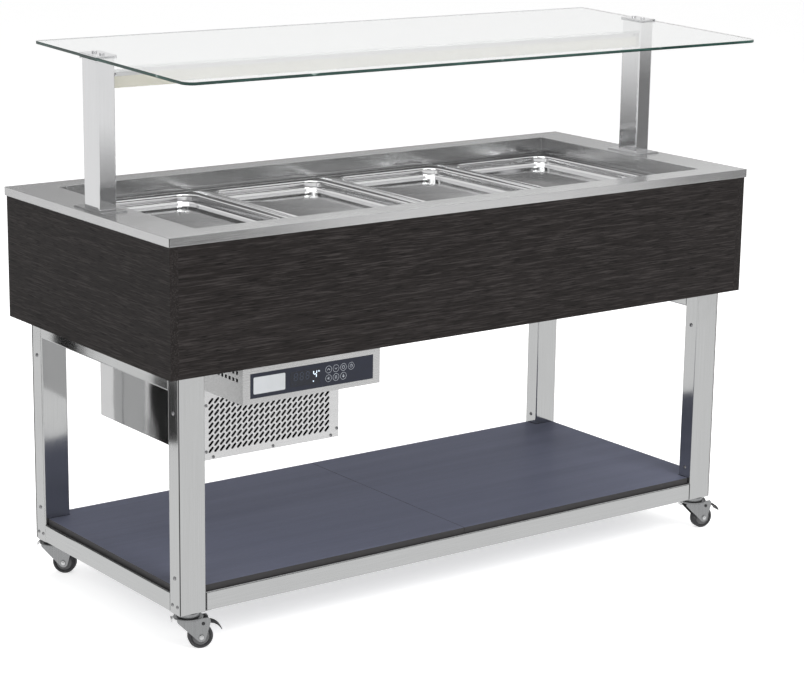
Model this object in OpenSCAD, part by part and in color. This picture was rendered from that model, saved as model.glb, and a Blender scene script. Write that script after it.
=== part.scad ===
// Mobile refrigerated salad bar: a counter on a tube frame with castors, a recessed well with four shallow
// pans, a glass canopy with a light bar, and a condensing unit with its control box under the well.
// Frame: X along the counter (left end at -X), front at -Y, +Z up, floor at Z = 0.

/* [Counter] */
// Length of the worktop
top_l = 1500; // [1300:10:1800]
// Depth of the worktop
top_d = 664; // [640:2:800]
// Height of the worktop above the floor
top_h = 844; // [800:1:950]
// Height of the folded worktop edge
top_edge_h = 18; // [12:1:40]
// Sheet thickness of the worktop and tank
sheet_t = 1.5; // [0.8:0.1:2]
// Width of the flange folded in under the worktop edge
top_return_w = 20; // [15:1:30]

/* [Well] */
// Length of the opening in the worktop
well_l = 1316; // [1310:2:1400]
// Depth of the opening in the worktop, front to back
well_d = 548; // [540:2:600]
// Height of the worktop lip folded down into the well
lip_h = 28; // [15:1:35]
// Drop from the worktop to the ledge that carries the pans
ledge_drop = 39; // [36:1:60]
// Width of the ledge around the well
ledge_w = 18; // [14:1:24]
// Width of the flange that holds the well's collar under the worktop
collar_flange_w = 12; // [8:1:20]
// Depth of the tank below the ledge
tank_depth = 190; // [120:5:190]
// Thickness of the foam beside the tank
foam_side = 30.5; // [20:0.5:31]
// Thickness of the foam under the tank
foam_floor = 44.5; // [20:0.5:60]
// Sheet thickness of the tank casing
casing_t = 1; // [0.8:0.1:2]
// Radius of the drain hole in the tank floor
drain_r = 16; // [10:1:25]

/* [Pans] */
// Length of a pan, front to back
pan_l = 530; // [500:1:536]
// Width of a pan
pan_w = 325; // [300:1:326]
// Distance from one pan to the next
pan_pitch = 328.5; // [327:0.5:329]
// Inside depth of a pan
pan_depth = 20; // [15:1:150]
// Width of the flat rim of a pan
pan_rim = 24; // [12:1:30]
// Sheet thickness of a pan
pan_t = 1.2; // [0.6:0.1:2]
// Corner radius inside a pan
pan_r = 34; // [20:1:60]
// Width of the slope between the floor and the walls inside a pan
pan_slope = 6; // [2:0.5:9]
// Width of the support bar under two pan rims
bar_w = 30; // [16:1:44]
// Thickness of the support bar
bar_t = 3; // [2:0.5:5]
// Thickness of the fin that stands between two pan rims
bar_fin = 2; // [1:0.5:3]

/* [Skirt] */
// Thickness of the laminated skirt boards
skirt_t = 19; // [12:1:25]
// Distance that the worktop stands out past the skirt
skirt_inset = 3; // [0:1:12]
// Height of the skirt boards
skirt_h = 259; // [225:1:320]

/* [Frame] */
// Width of the leg and rail tube, along the counter
tube_w = 60; // [40:5:80]
// Depth of the leg tube, and height of the rails
tube_d = 40; // [30:5:50]
// Wall thickness of the tubes
tube_t = 2; // [1.5:0.5:3]
// Radius of the tubes' long edges
tube_r = 3; // [2:0.5:5]
// Distance that the legs stand out past the ends of the tank casing
leg_out_x = 39; // [20:1:54]
// Distance that the legs stand out past the front and back of the tank casing
leg_out_y = 9; // [5:1:20]
// Thickness of the plate that closes a leg
leg_plate_t = 4; // [3:0.5:8]

/* [Shelf] */
// Thickness of the lower shelf panels
shelf_t = 12; // [8:1:20]
// Distance from the outer face of the frame to the shelf edge
shelf_in = 8; // [0:1:20]
// Gap between the two shelf panels
shelf_gap = 1; // [0.5:0.5:4]
// Clearance between the shelf and a leg
shelf_clear = 1; // [0.5:0.5:4]

/* [Canopy] */
// Distance that the glass stands out past the middle of a post
glass_out = 22; // [20:1:80]
// Depth of the canopy glass
glass_d = 590; // [400:10:700]
// Thickness of the canopy glass
glass_t = 6; // [5:1:10]
// Corner radius of the canopy glass
glass_r = 22; // [5:1:60]
// Distance that the glass is set forward of the counter's middle
glass_forward = 72; // [0:1:120]
// Clear height from the worktop to the underside of the glass, at the posts
glass_clear = 300; // [200:1:450]
// Forward tilt of the glass
glass_tilt = 2; // [0:0.5:8]
// Width of a post, along the counter
post_w = 40; // [30:1:60]
// Depth of a post, front to back
post_d = 60; // [30:1:80]
// Distance from the end of the well opening to the middle of a post
post_off = 50; // [31:1:60]
// Length of a post foot plate along the counter
foot_l = 59; // [50:1:80]
// Depth of a post foot plate, front to back
foot_d = 110; // [80:1:160]
// Thickness of the foot plates and clamp plates
plate_t = 3; // [2:0.5:6]
// Distance that a clamp plate stands out past its post
clamp_out = 3; // [0:0.5:8]
// Radius of the clamp screw shanks
clamp_screw_r = 3; // [2.5:0.5:4]
// Distance between the two clamp screws of a post
clamp_screw_gap = 30; // [20:1:44]
// Depth of the light bar, front to back
light_d = 36; // [24:1:60]
// Height of the light bar
light_h = 32; // [20:1:50]
// Height of the metal part of the light bar
light_cap_h = 9; // [5:1:20]
// Distance from the glass down to the top of the light bar
light_drop = 27; // [10:1:80]

/* [Condensing unit] */
// Distance from the left legs to the unit
unit_x = 67; // [20:1:500]
// Length of the unit along the counter
unit_l = 328; // [300:2:500]
// Distance from the front of the tank casing to the grille
unit_y = 104; // [90:1:140]
// Depth of the unit, front to back
unit_d = 419; // [380:1:440]
// Height of the unit
unit_h = 220; // [200:1:260]
// Sheet thickness of the unit's panels
unit_t = 1.5; // [0.8:0.1:2]
// Number of grille slots in a row
slot_cols = 22; // [8:1:26]
// Number of rows of grille slots
slot_rows = 9; // [4:1:14]
// Distance between grille slots along a row
slot_px = 13.44; // [12:0.01:18]
// Distance between rows of grille slots
slot_pz = 12.65; // [11:0.01:18]
// Length of a grille slot
slot_l = 15.5; // [8:0.5:17]
// Width of a grille slot
slot_w = 5.2; // [3:0.1:6]
// Slant of the grille slots
slot_a = 45; // [30:1:60]
// Distance from the unit's end to the first column of slots
slot_x0 = 16.5; // [14:0.5:30]
// Distance from the unit's floor to the first row of slots
slot_z0 = 20.5; // [18:0.5:40]

/* [Refrigeration parts] */
// Radius of the compressor shell
comp_r = 62; // [50:1:75]
// Height of the compressor shell
comp_h = 142; // [110:1:160]
// Depth of the condenser coil
coil_d = 44; // [30:1:60]
// Height of the condenser coil
coil_h = 176; // [150:1:190]
// Radius of the fan blades
fan_r = 70; // [60:1:80]
// Number of fan blades
fan_blades = 5; // [3:1:7]
// Radius of the copper pipes
pipe_r = 4; // [3:0.5:6]
// Radius of the cable gland's bore
cable_r = 4; // [3:0.5:5]
// Distance from the unit's right side to the cable gland
gland_in = 40; // [20:1:100]
// Height of the cable gland above the unit's floor
gland_up = 34; // [20:1:50]

/* [Control box] */
// Height of the control box
ctrl_h = 72; // [60:1:90]
// Sheet thickness of the control box
ctrl_t = 1.5; // [1:0.1:2]
// Length of the dark control panel
panel_l = 294; // [200:2:310]
// Height of the dark control panel
panel_h = 50; // [36:1:60]
// Thickness of the dark control panel
panel_t = 3; // [2:0.5:5]
// Distance from the left end of the box to the panel
panel_x = 17; // [8:1:40]
// Number of vent holes in a row at the box's left end
vent_n = 6; // [3:1:8]
// Distance between the vent holes
vent_p = 13.45; // [10:0.05:16]

/* [Castors] */
// Height of a castor, from the floor to the leg
castor_h = 77; // [74:1:90]
// Radius of a castor wheel
wheel_r = 25; // [20:1:29]
// Width of a castor wheel
wheel_w = 19; // [14:1:22]
// Distance that the wheel trails behind the swivel
trail = 24; // [18:1:28]
// Thickness of the fork's side plates
fork_t = 2.5; // [1.5:0.5:4]
// Radius of the fork's crown plate
crown_r = 30; // [28:1:32]
// Thickness of the fork's crown plate
crown_t = 4; // [2.5:0.5:6]
// Thickness of the castor's bearing disc
bearing_t = 8; // [4:1:12]
// Width of the brake pedal
pedal_w = 28; // [16:1:36]
// Slope of the brake pedal when it is off
pedal_tilt = 14; // [5:1:20]
// Radius of the castor's king pin
king_r = 5; // [4:0.5:6]
// Radius of the wheel axle
axle_r = 4; // [3:0.5:5]
// Direction in which the front left castor trails
trail_fl = -20; // [-180:5:180]
// Direction in which the front right castor trails
trail_fr = -10; // [-180:5:180]
// Direction in which the back left castor trails
trail_bl = -45; // [-180:5:180]
// Direction in which the back right castor trails
trail_br = -20; // [-180:5:180]

/* [Drain] */
// Radius of the drain pipe
pipe_drain_r = 13; // [8:1:20]
// Radius of the drain valve body
valve_r = 19; // [14:1:30]
// Height of the drain valve body
valve_h = 26; // [20:1:40]
// Distance from the casing down to the foot of the drain valve body
valve_drop = 42; // [30:1:60]
// Radius of the drain valve's spindle
spindle_r = 5; // [3:0.5:6]
// Length of the drain valve lever
lever_l = 70; // [40:5:100]
// Position of the drain along the counter
drain_x = 210; // [-100:10:600]
// Position of the drain, from the counter's middle to the back
drain_y = 110; // [60:5:160]

/* [Fits] */
// Gap all round between a shaft and its hole
run_gap = 0.05; // [0.02:0.01:0.1]
// Gap between a screw shank and its clearance hole
screw_gap = 0.3; // [0.2:0.1:1]
// Gap between two parts that pass each other
pass_gap = 0.5; // [0.3:0.1:1]

/* [Hidden] */
$fn = 20;
eps = 0.01;
hx = top_l / 2;
hy = top_d / 2;
// The frame's origin is under the middle of the whole object, and the glass stands out past the front.
glass_front = -(glass_forward + glass_d / 2) * cos(glass_tilt) - glass_t * sin(glass_tilt);
y_mid = -(min(glass_front, -hy) + hy) / 2;
ledge_z = top_h - ledge_drop;
lip_l = well_l + 2 * sheet_t;
lip_d = well_d + 2 * sheet_t;
collar_l = lip_l + 2 * screw_gap;
collar_d = lip_d + 2 * screw_gap;
tank_l = well_l - 2 * ledge_w;
tank_d = well_d - 2 * ledge_w;
tank_z = ledge_z - tank_depth;
foam_l = tank_l + 2 * sheet_t + 2 * foam_side;
foam_d = tank_d + 2 * sheet_t + 2 * foam_side;
foam_z = tank_z - sheet_t - foam_floor;
casing_z = foam_z - casing_t;
skirt_z = top_h - top_edge_h - skirt_h;
skirt_x = hx - skirt_inset;
skirt_y = hy - skirt_inset;
casing_x = foam_l / 2 + casing_t;
casing_y = foam_d / 2 + casing_t;
leg_x = casing_x + leg_out_x;
leg_y = casing_y + leg_out_y;
leg_cx = leg_x - tube_w / 2;
leg_cy = leg_y - tube_d / 2;
leg_top = casing_z;
rail_top = castor_h + tube_d;
glass_z = top_h + glass_clear;
post_span = well_l + 2 * post_off;
glass_l = post_span + 2 * glass_out;
unit_x0 = tube_w - leg_x + unit_x;
unit_x1 = unit_x0 + unit_l;
unit_y0 = -casing_y + unit_y;
unit_y1 = unit_y0 + unit_d;
unit_z0 = casing_z - unit_h;
ctrl_z0 = skirt_z - ctrl_h;
panel_z = ctrl_z0 + (ctrl_h - panel_h) / 2;
comp_x = unit_x0 + 105;
comp_y = unit_y1 - 95;
stub_x = comp_r + 6;
stub_y = 30;
stub_z = comp_h - 58;
coil_y = unit_y0 + 12;
coil_x0 = unit_x0 + 26;
coil_x1 = unit_x1 - 26;
coil_z = unit_z0 + unit_t + 8;
crown_z = castor_h - bearing_t - pass_gap;
rivet_t = 2;
rivet_z = crown_z - crown_t - pass_gap;
king_up = 20;
fork_gap = wheel_w / 2 + 1.5;
pedal_x = 4;
pedal_z = crown_z - crown_t - 11;
pedal_pin_r = 2.5;
fan_x = (unit_x0 + unit_x1) / 2;
fan_z = coil_z + coil_h / 2;
shroud_y = coil_y + coil_d;
fan_y = shroud_y + 30;
motor_y = shroud_y + 48;
steel = [0.76, 0.77, 0.78];
polished = [0.82, 0.82, 0.83];
wenge = [0.15, 0.13, 0.12];
slate = [0.36, 0.38, 0.43];
rubber = [0.22, 0.22, 0.23];
zinc = [0.75, 0.76, 0.77];
copper = [0.72, 0.45, 0.3];
function corner_x(s) = s * leg_cx;
function corner_y(s) = s * leg_cy;

// Places a piece made about the counter's middle into the frame.
module placed() {
    translate([0, y_mid, 0]) children();
}

// A box centred in X and Y, standing on z.
module plate(l, d, z, h) {
    translate([-l / 2, -d / 2, z]) cube([l, d, h]);
}

// A box between two corners.
module span(a, b) {
    translate(a) cube(b - a);
}

// A flat rectangle with round corners.
module rounded_rect(l, w, r) {
    square([l - 2 * r, w], center = true);
    square([l, w - 2 * r], center = true);
    for (sx = [-1, 1]) {
        for (sy = [-1, 1]) {
            translate([sx * (l / 2 - r), sy * (w / 2 - r)]) circle(r, $fn = 16);
        }
    }
}

// An upright square tube standing on z = 0, with round corners.
module tube(l, d, h) {
    linear_extrude(h) difference() {
        rounded_rect(l, d, tube_r);
        rounded_rect(l - 2 * tube_t, d - 2 * tube_t, tube_r - tube_t / 2);
    }
}

module worktop() color(steel) placed() {
    difference() {
        plate(top_l, top_d, top_h - top_edge_h, top_edge_h);
        plate(top_l - 2 * sheet_t, top_d - 2 * sheet_t, top_h - top_edge_h + sheet_t, top_edge_h - 2 * sheet_t);
        plate(top_l - 2 * top_return_w, top_d - 2 * top_return_w, top_h - top_edge_h - 1, 1 + 2 * sheet_t);
        plate(well_l, well_d, top_h - 2 * top_edge_h, 3 * top_edge_h);
    }
    difference() {
        plate(lip_l, lip_d, top_h - lip_h, lip_h);
        plate(well_l, well_d, top_h - lip_h - 1, lip_h + 2);
    }
}

// The collar that hangs behind the worktop's lip, with the ledge at its foot.
module well_rim() color(steel) placed() {
    flange_z = top_h - 2 * sheet_t;
    low_z = ledge_z - sheet_t;
    difference() {
        union() {
            plate(collar_l + 2 * sheet_t, collar_d + 2 * sheet_t, low_z, flange_z - low_z);
            plate(collar_l + 2 * collar_flange_w, collar_d + 2 * collar_flange_w, flange_z, sheet_t);
        }
        plate(collar_l, collar_d, ledge_z, ledge_drop);
        plate(tank_l, tank_d, tank_z, tank_depth + 1);
    }
}

// The tank below the ledge.
module well_tank() color(steel) placed() {
    difference() {
        plate(tank_l + 2 * sheet_t, tank_d + 2 * sheet_t, tank_z - sheet_t, tank_depth);
        plate(tank_l, tank_d, tank_z, tank_depth + 1);
        translate([drain_x, drain_y, tank_z - 2 * sheet_t]) cylinder(r = drain_r, h = 3 * sheet_t);
    }
    // clips that carry the ends of the support bars
    for (i = [-1 : 1]) {
        for (s = [-1, 1]) {
            translate([i * pan_pitch - bar_w / 2 - 2, s * (tank_d / 2 - 6) - 6, ledge_z - bar_t - sheet_t])
                cube([bar_w + 4, 12, sheet_t]);
        }
    }
}

module insulation() color([0.9, 0.86, 0.68]) placed() difference() {
    plate(foam_l, foam_d, foam_z, ledge_z - sheet_t - foam_z);
    plate(tank_l + 2 * sheet_t, tank_d + 2 * sheet_t, tank_z - sheet_t, tank_depth + sheet_t + 1);
    translate([drain_x, drain_y, foam_z - 1]) cylinder(r = drain_r, h = foam_floor + 2);
}

module tank_casing() color(steel) placed() difference() {
    plate(foam_l + 2 * casing_t, foam_d + 2 * casing_t, casing_z, ledge_z - sheet_t - casing_z);
    plate(foam_l, foam_d, foam_z, ledge_z);
    translate([drain_x, drain_y, casing_z - 1]) cylinder(r = drain_r, h = casing_t + 2);
}

module divider_bar(i) color(steel) placed() translate([i * pan_pitch, 0, 0]) {
    plate(bar_w, tank_d - 2 * pass_gap, ledge_z - bar_t, bar_t);
    plate(bar_fin, tank_d - 2 * pass_gap, ledge_z - eps, pan_t + eps);
}
module divider_bar_1() divider_bar(-1);
module divider_bar_2() divider_bar(0);
module divider_bar_3() divider_bar(1);

// A block standing on z = 0 with round corners and a lower edge that slopes in by e.
module dish(l, w, h, r, e) {
    translate([0, 0, e]) linear_extrude(h - e) rounded_rect(l, w, r);
    translate([0, w / 2 - r, 0]) rotate([90, 0, 0]) linear_extrude(w - 2 * r)
        polygon([[e - l / 2, 0], [l / 2 - e, 0], [l / 2, e], [-l / 2, e]]);
    translate([r - l / 2, 0, 0]) rotate([90, 0, 90]) linear_extrude(l - 2 * r)
        polygon([[e - w / 2, 0], [w / 2 - e, 0], [w / 2, e], [-w / 2, e]]);
    for (s = [-1, 1]) {
        for (t = [-1, 1]) {
            translate([s * (l / 2 - r), t * (w / 2 - r), 0]) cylinder(r1 = r - e, r2 = r, h = e, $fn = 16);
        }
    }
}

// A shallow pressed pan with a flat rim, hanging from its rim on the ledge.
module pan(i) color(polished) placed() translate([(i - 1.5) * pan_pitch, 0, ledge_z + pan_t]) {
    in_w = pan_w - 2 * pan_rim;
    in_l = pan_l - 2 * pan_rim;
    // keeps the sheet's thickness across the slope
    outer_slope = pan_slope + (2 - sqrt(2)) * pan_t;
    difference() {
        union() {
            translate([0, 0, -pan_t]) linear_extrude(pan_t) rounded_rect(pan_w, pan_l, 6);
            translate([0, 0, -pan_depth - pan_t])
                dish(in_w + 2 * pan_t, in_l + 2 * pan_t, pan_depth + pan_t, pan_r + pan_t, outer_slope);
        }
        translate([0, 0, -pan_depth]) dish(in_w, in_l, pan_depth + 1, pan_r, pan_slope);
    }
}
module pan_1() pan(0);
module pan_2() pan(1);
module pan_3() pan(2);
module pan_4() pan(3);

module skirt_front() color(wenge) placed()
    span([-skirt_x + skirt_t, -skirt_y, skirt_z], [skirt_x - skirt_t, -skirt_y + skirt_t, skirt_z + skirt_h]);
module skirt_back() color(wenge) placed()
    span([-skirt_x + skirt_t, skirt_y - skirt_t, skirt_z], [skirt_x - skirt_t, skirt_y, skirt_z + skirt_h]);
module skirt_left() color(wenge) placed()
    span([-skirt_x, -skirt_y, skirt_z], [-skirt_x + skirt_t, skirt_y, skirt_z + skirt_h]);
module skirt_right() color(wenge) placed()
    span([skirt_x - skirt_t, -skirt_y, skirt_z], [skirt_x, skirt_y, skirt_z + skirt_h]);

// An upright tube on one corner of the frame, closed at the foot by the plate that holds the castor.
module leg(sx, sy) color(polished) placed() translate([corner_x(sx), corner_y(sy), castor_h]) difference() {
    union() {
        tube(tube_w, tube_d, leg_top - castor_h);
        linear_extrude(leg_plate_t) rounded_rect(tube_w, tube_d, tube_r);
    }
    translate([0, 0, -1]) cylinder(r = king_r + screw_gap, h = leg_plate_t + 2, $fn = 14);
}
module leg_front_left() leg(-1, -1);
module leg_front_right() leg(1, -1);
module leg_back_left() leg(-1, 1);
module leg_back_right() leg(1, 1);

// A tube that joins the front and back legs at one end.
module side_rail(sx, z) color(polished) placed() translate([corner_x(sx), leg_y - tube_d, z + tube_d / 2])
    rotate([90, 0, 0]) tube(tube_w, tube_d, 2 * (leg_y - tube_d));
module top_rail_left() side_rail(-1, leg_top - tube_d);
module top_rail_right() side_rail(1, leg_top - tube_d);
module bottom_rail_left() side_rail(-1, castor_h);
module bottom_rail_right() side_rail(1, castor_h);

// A tube that joins the left and right legs at the front or the back.
module long_rail(sy) color(polished) placed() translate([tube_w - leg_x, corner_y(sy), castor_h + tube_d / 2])
    rotate([90, 0, 90]) tube(tube_d, tube_d, 2 * (leg_x - tube_w));
module bottom_rail_front() long_rail(-1);
module bottom_rail_back() long_rail(1);

// One of the two shelf panels, with its outer corners cut out around the legs.
module shelf(s) color(slate) placed() difference() {
    span([s < 0 ? -leg_x + shelf_in : shelf_gap / 2, -leg_y + shelf_in, rail_top],
        [s < 0 ? -shelf_gap / 2 : leg_x - shelf_in, leg_y - shelf_in, rail_top + shelf_t]);
    for (sy = [-1, 1]) {
        translate([corner_x(s), corner_y(sy), 0])
            plate(tube_w + 2 * shelf_clear, tube_d + 2 * shelf_clear, rail_top - 1, shelf_t + 2);
    }
}
module shelf_left() shelf(-1);
module shelf_right() shelf(1);

// Clearance holes for the two clamp screws of a post.
module clamp_holes(z, h, r) {
    for (k = [-1, 1]) {
        translate([0, k * clamp_screw_gap / 2, z]) cylinder(r = r, h = h, $fn = 14);
    }
}

// Tilts what is made on the glass's underside, about the posts.
module tilted() {
    translate([0, 0, glass_z]) rotate([glass_tilt, 0, 0]) children();
}

// A canopy post: foot plate, tube cut to the tilt of the glass, and the lower clamp plate.
module post(s) color(polished) placed() translate([s * post_span / 2, 0, 0]) {
    plate(foot_l, foot_d, top_h, plate_t);
    difference() {
        translate([0, 0, top_h + plate_t - eps]) tube(post_w, post_d, glass_clear);
        tilted() plate(2 * post_w, 2 * post_d, -plate_t / 2, glass_clear);
    }
    tilted() difference() {
        plate(post_w + 2 * clamp_out, post_d + 2 * clamp_out, -plate_t, plate_t);
        clamp_holes(-plate_t - 1, plate_t + 2, clamp_screw_r + screw_gap);
    }
}
module post_left() post(-1);
module post_right() post(1);

// Upper clamp plates with their screws, which pass through the glass into the post heads.
module clamp_plates() color(polished) placed() tilted() for (s = [-1, 1]) {
    translate([s * post_span / 2, 0, 0]) {
        plate(post_w + 2 * clamp_out, post_d + 2 * clamp_out, glass_t, plate_t);
        clamp_holes(-plate_t, glass_t + plate_t + eps, clamp_screw_r);
        clamp_holes(glass_t + plate_t - eps, 3, clamp_screw_r + 2);
    }
}

module canopy_glass() color([0.75, 0.87, 0.84, 0.35]) placed() tilted() difference() {
    translate([0, -glass_forward, 0]) linear_extrude(glass_t) rounded_rect(glass_l, glass_d, glass_r);
    for (s = [-1, 1]) {
        translate([s * post_span / 2, 0, 0]) clamp_holes(-1, glass_t + 2, clamp_screw_r + 1);
    }
}

module light_housing() color(steel) placed() difference() {
    low = glass_z - light_drop - light_cap_h;
    light_l = post_span - post_w;
    plate(light_l, light_d, low, light_cap_h);
    plate(light_l - 2 * sheet_t, light_d - 2 * sheet_t, low - 1, light_cap_h + 1 - sheet_t);
}

module light_diffuser() color([0.93, 0.91, 0.84]) placed()
    plate(post_span - post_w, light_d, glass_z - light_drop - light_h, light_h - light_cap_h);

module unit_tray() color(steel) placed() difference() {
    span([unit_x0 + unit_t, unit_y0 + unit_t, unit_z0], [unit_x1 - unit_t, unit_y1 - unit_t, unit_z0 + 20]);
    span([unit_x0 + 2 * unit_t, unit_y0, unit_z0 + unit_t], [unit_x1 - 2 * unit_t, unit_y1, unit_z0 + 21]);
}

// The outline of one slot, with each round end drawn in three sides.
module slot_shape() {
    mid = (slot_l - slot_w) / 2;
    half = slot_w / 2;
    polygon([for (s = [1, -1]) for (a = [-90 : 60 : 90]) [s * (mid + half * cos(a)), s * half * sin(a)]]);
}

// The front grille: a flat panel with rows of slanted slots.
module front_grille() color(steel) placed() translate([unit_x0, unit_y0 + unit_t, unit_z0]) rotate([90, 0, 0])
    linear_extrude(unit_t) difference() {
        square([unit_l, unit_h]);
        for (c = [0 : slot_cols - 1]) {
            for (r = [0 : slot_rows - 1]) {
                translate([slot_x0 + c * slot_px, slot_z0 + r * slot_pz]) rotate(slot_a) slot_shape();
            }
        }
    }

// Side and back panels of the unit, with louvre slots in the back.
module unit_cover() color(steel) placed() difference() {
    span([unit_x0, unit_y0 + unit_t, unit_z0], [unit_x1, unit_y1, casing_z]);
    span([unit_x0 + unit_t, unit_y0, unit_z0 - 1], [unit_x1 - unit_t, unit_y1 - unit_t, casing_z + 1]);
    for (c = [0 : 1]) {
        for (r = [0 : 7]) {
            translate([unit_x0 + 44 + c * 130, unit_y1 - 5, unit_z0 + 60 + r * 16]) cube([110, 10, 7]);
        }
    }
}

module compressor() color([0.12, 0.12, 0.13]) placed() translate([comp_x, comp_y, unit_z0 + unit_t]) {
    foot_h = 12;
    rotate_extrude($fn = 24) polygon([[0, foot_h], [comp_r - 14, foot_h], [comp_r, foot_h + 16],
        [comp_r, comp_h - 34], [comp_r - 10, comp_h - 14], [comp_r - 28, comp_h - 4], [0, comp_h]]);
    for (a = [45 : 90 : 315]) {
        rotate(a) translate([comp_r - 30, -11, foot_h - 3]) cube([44, 22, 3 + eps]);
        rotate(a) translate([comp_r + 4, 0, 0]) cylinder(r = 8, h = foot_h - 3 + eps, $fn = 14);
    }
    // terminal cover
    translate([-24, -comp_r - 14, foot_h + 34]) cube([48, 26, 52]);
    // suction stub
    translate([0, stub_y, stub_z]) rotate([0, 90, 0]) cylinder(r = pipe_r + 2, h = stub_x, $fn = 14);
}

module condenser() color([0.7, 0.71, 0.72]) placed() {
    fin_t = 1;
    span([coil_x0 + 3, coil_y, coil_z], [coil_x1 - 3, coil_y + coil_d, coil_z + coil_h]);
    for (x = [coil_x0, coil_x1 - 3]) {
        span([x, coil_y - 3, unit_z0 + unit_t], [x + 3, coil_y + coil_d, coil_z + coil_h + 6]);
    }
    // return bends at the coil's ends
    bend = 13;
    for (k = [0 : 2]) {
        translate([coil_x1 - eps, coil_y + coil_d / 2, coil_z + 32 + k * 52]) rotate([90, 0, 0]) rotate([0, 0, -90])
            rotate_extrude(angle = 180, $fn = 14) translate([bend, 0]) circle(pipe_r, $fn = 13);
    }
}

module fan_shroud() color([0.3, 0.31, 0.32]) placed() difference() {
    union() {
        span([coil_x0 + 3, shroud_y, coil_z], [coil_x1 - 3, shroud_y + 2, coil_z + coil_h]);
        translate([fan_x, shroud_y, fan_z]) rotate([-90, 0, 0]) cylinder(r = fan_r + 5, h = 34, $fn = 32);
    }
    translate([fan_x, shroud_y - 1, fan_z]) rotate([-90, 0, 0]) cylinder(r = fan_r + 3, h = 40, $fn = 32);
}

module fan_motor() color([0.2, 0.2, 0.21]) placed() {
    translate([fan_x, motor_y, fan_z]) rotate([-90, 0, 0]) cylinder(r = 34, h = 44);
    translate([fan_x, motor_y - 26, fan_z]) rotate([-90, 0, 0]) cylinder(r = axle_r, h = 30, $fn = 14);
    // bracket that holds the motor, standing on the tray
    for (s = [-1, 1]) {
        translate([s * 26, 0, 0])
            span([fan_x - 3, motor_y + 12, unit_z0 + unit_t], [fan_x + 3, motor_y + 32, fan_z - 20]);
    }
}

module fan_blade() color([0.78, 0.79, 0.8]) placed() translate([fan_x, fan_y - 8, fan_z]) rotate([-90, 0, 0]) {
    hub_h = 16;
    difference() {
        union() {
            cylinder(r = 20, h = hub_h);
            for (k = [0 : fan_blades - 1]) {
                rotate(k * 360 / fan_blades) translate([16, 0, hub_h / 2]) rotate([28, 0, 0])
                    translate([0, -20, -0.8]) cube([fan_r - 21, 40, 1.6]);
            }
        }
        translate([0, 0, -1]) cylinder(r = axle_r + run_gap, h = hub_h + 2, $fn = 14);
    }
}

// A straight run of pipe from one point along a direction.
module pipe(at, turn, h) {
    translate(at) rotate(turn) cylinder(r = pipe_r, h = h, $fn = 14);
}

module pipework() color(copper) placed() {
    low = unit_z0 + unit_t + stub_z;
    // suction line from the compressor's stub up to the well's casing
    pipe([comp_x + stub_x, comp_y + stub_y, low], [0, 90, 0], 20);
    pipe([comp_x + stub_x + 20 - pipe_r, comp_y + stub_y, low - pipe_r], [0, 0, 0], casing_z - low + pipe_r);
    // liquid line with the drier, beside the coil
    lx = unit_x1 - 18;
    ly = shroud_y + 60;
    pipe([lx, ly, unit_z0 + 60], [0, 0, 0], casing_z - unit_z0 - 60);
    translate([lx, ly, unit_z0 + 90]) cylinder(r = 11, h = 70);
    translate([lx, ly, unit_z0 + unit_t]) cylinder(r = 3, h = 62, $fn = 14);
}

module control_box() color(steel) placed() difference() {
    in_y = -skirt_y + ctrl_t + panel_t;
    span([unit_x0, -skirt_y, ctrl_z0], [unit_x1, unit_y0, skirt_z]);
    span([unit_x0 + ctrl_t, in_y, ctrl_z0 + ctrl_t], [unit_x1 - ctrl_t, unit_y0 + 1, skirt_z - ctrl_t]);
    translate([unit_x0 + panel_x, -skirt_y - 1, panel_z]) cube([panel_l, panel_t + 1, panel_h]);
    // vent holes in the left end
    for (k = [0 : vent_n - 1]) {
        for (z = [ctrl_z0 + 43, ctrl_z0 + 58]) {
            translate([unit_x0 - 1, -skirt_y + 17.5 + k * vent_p, z]) cube([ctrl_t + 2, 7.5, 7]);
        }
    }
}

module control_panel() color([0.1, 0.11, 0.15]) placed()
    translate([unit_x0 + panel_x, -skirt_y, panel_z]) cube([panel_l, panel_t, panel_h]);

// A hexagonal nut with a tapered cap, bored for the supply cable.
module cable_gland() color([0.13, 0.13, 0.14]) placed()
    translate([unit_x1 - gland_in, unit_y1, unit_z0 + gland_up]) rotate([-90, 0, 0]) difference() {
        union() {
            cylinder(r = 11, h = 6, $fn = 6);
            translate([0, 0, 6 - eps]) cylinder(r1 = 9, r2 = 7, h = 14);
        }
        translate([0, 0, 2]) cylinder(r = cable_r, h = 20);
    }

// The drain: a plug in the tank floor on a pipe that is solid down to the valve, the valve's body, and the outlet.
module drain_valve() color([0.75, 0.62, 0.35]) placed() translate([drain_x, drain_y, casing_z]) difference() {
    bore = pipe_drain_r - 3;
    union() {
        translate([0, 0, -valve_drop - 20]) cylinder(r = pipe_drain_r, h = tank_z - casing_z + valve_drop + 20);
        translate([0, 0, tank_z - casing_z]) cylinder(r = drain_r + 8, h = sheet_t);
        translate([0, 0, -valve_drop]) cylinder(r = valve_r, h = valve_h);
        translate([0, -valve_r - 12, valve_h / 2 - valve_drop]) rotate([-90, 0, 0])
            cylinder(r = spindle_r, h = 20, $fn = 14);
    }
    translate([0, 0, -valve_drop - 21]) cylinder(r = bore, h = 21);
}

// The lever on the valve's spindle, lying along the counter when the valve is closed.
module drain_lever() color([0.75, 0.1, 0.08]) placed() {
    spindle_z = casing_z + valve_h / 2 - valve_drop;
    translate([drain_x, drain_y - valve_r - 10, spindle_z]) rotate([-90, 0, 0]) difference() {
        union() {
            cylinder(r = spindle_r + 4, h = 5, $fn = 16);
            translate([0, -6, 0]) cube([lever_l, 12, 3]);
        }
        translate([0, 0, -1]) cylinder(r = spindle_r + run_gap, h = 8, $fn = 14);
    }
}

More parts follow.
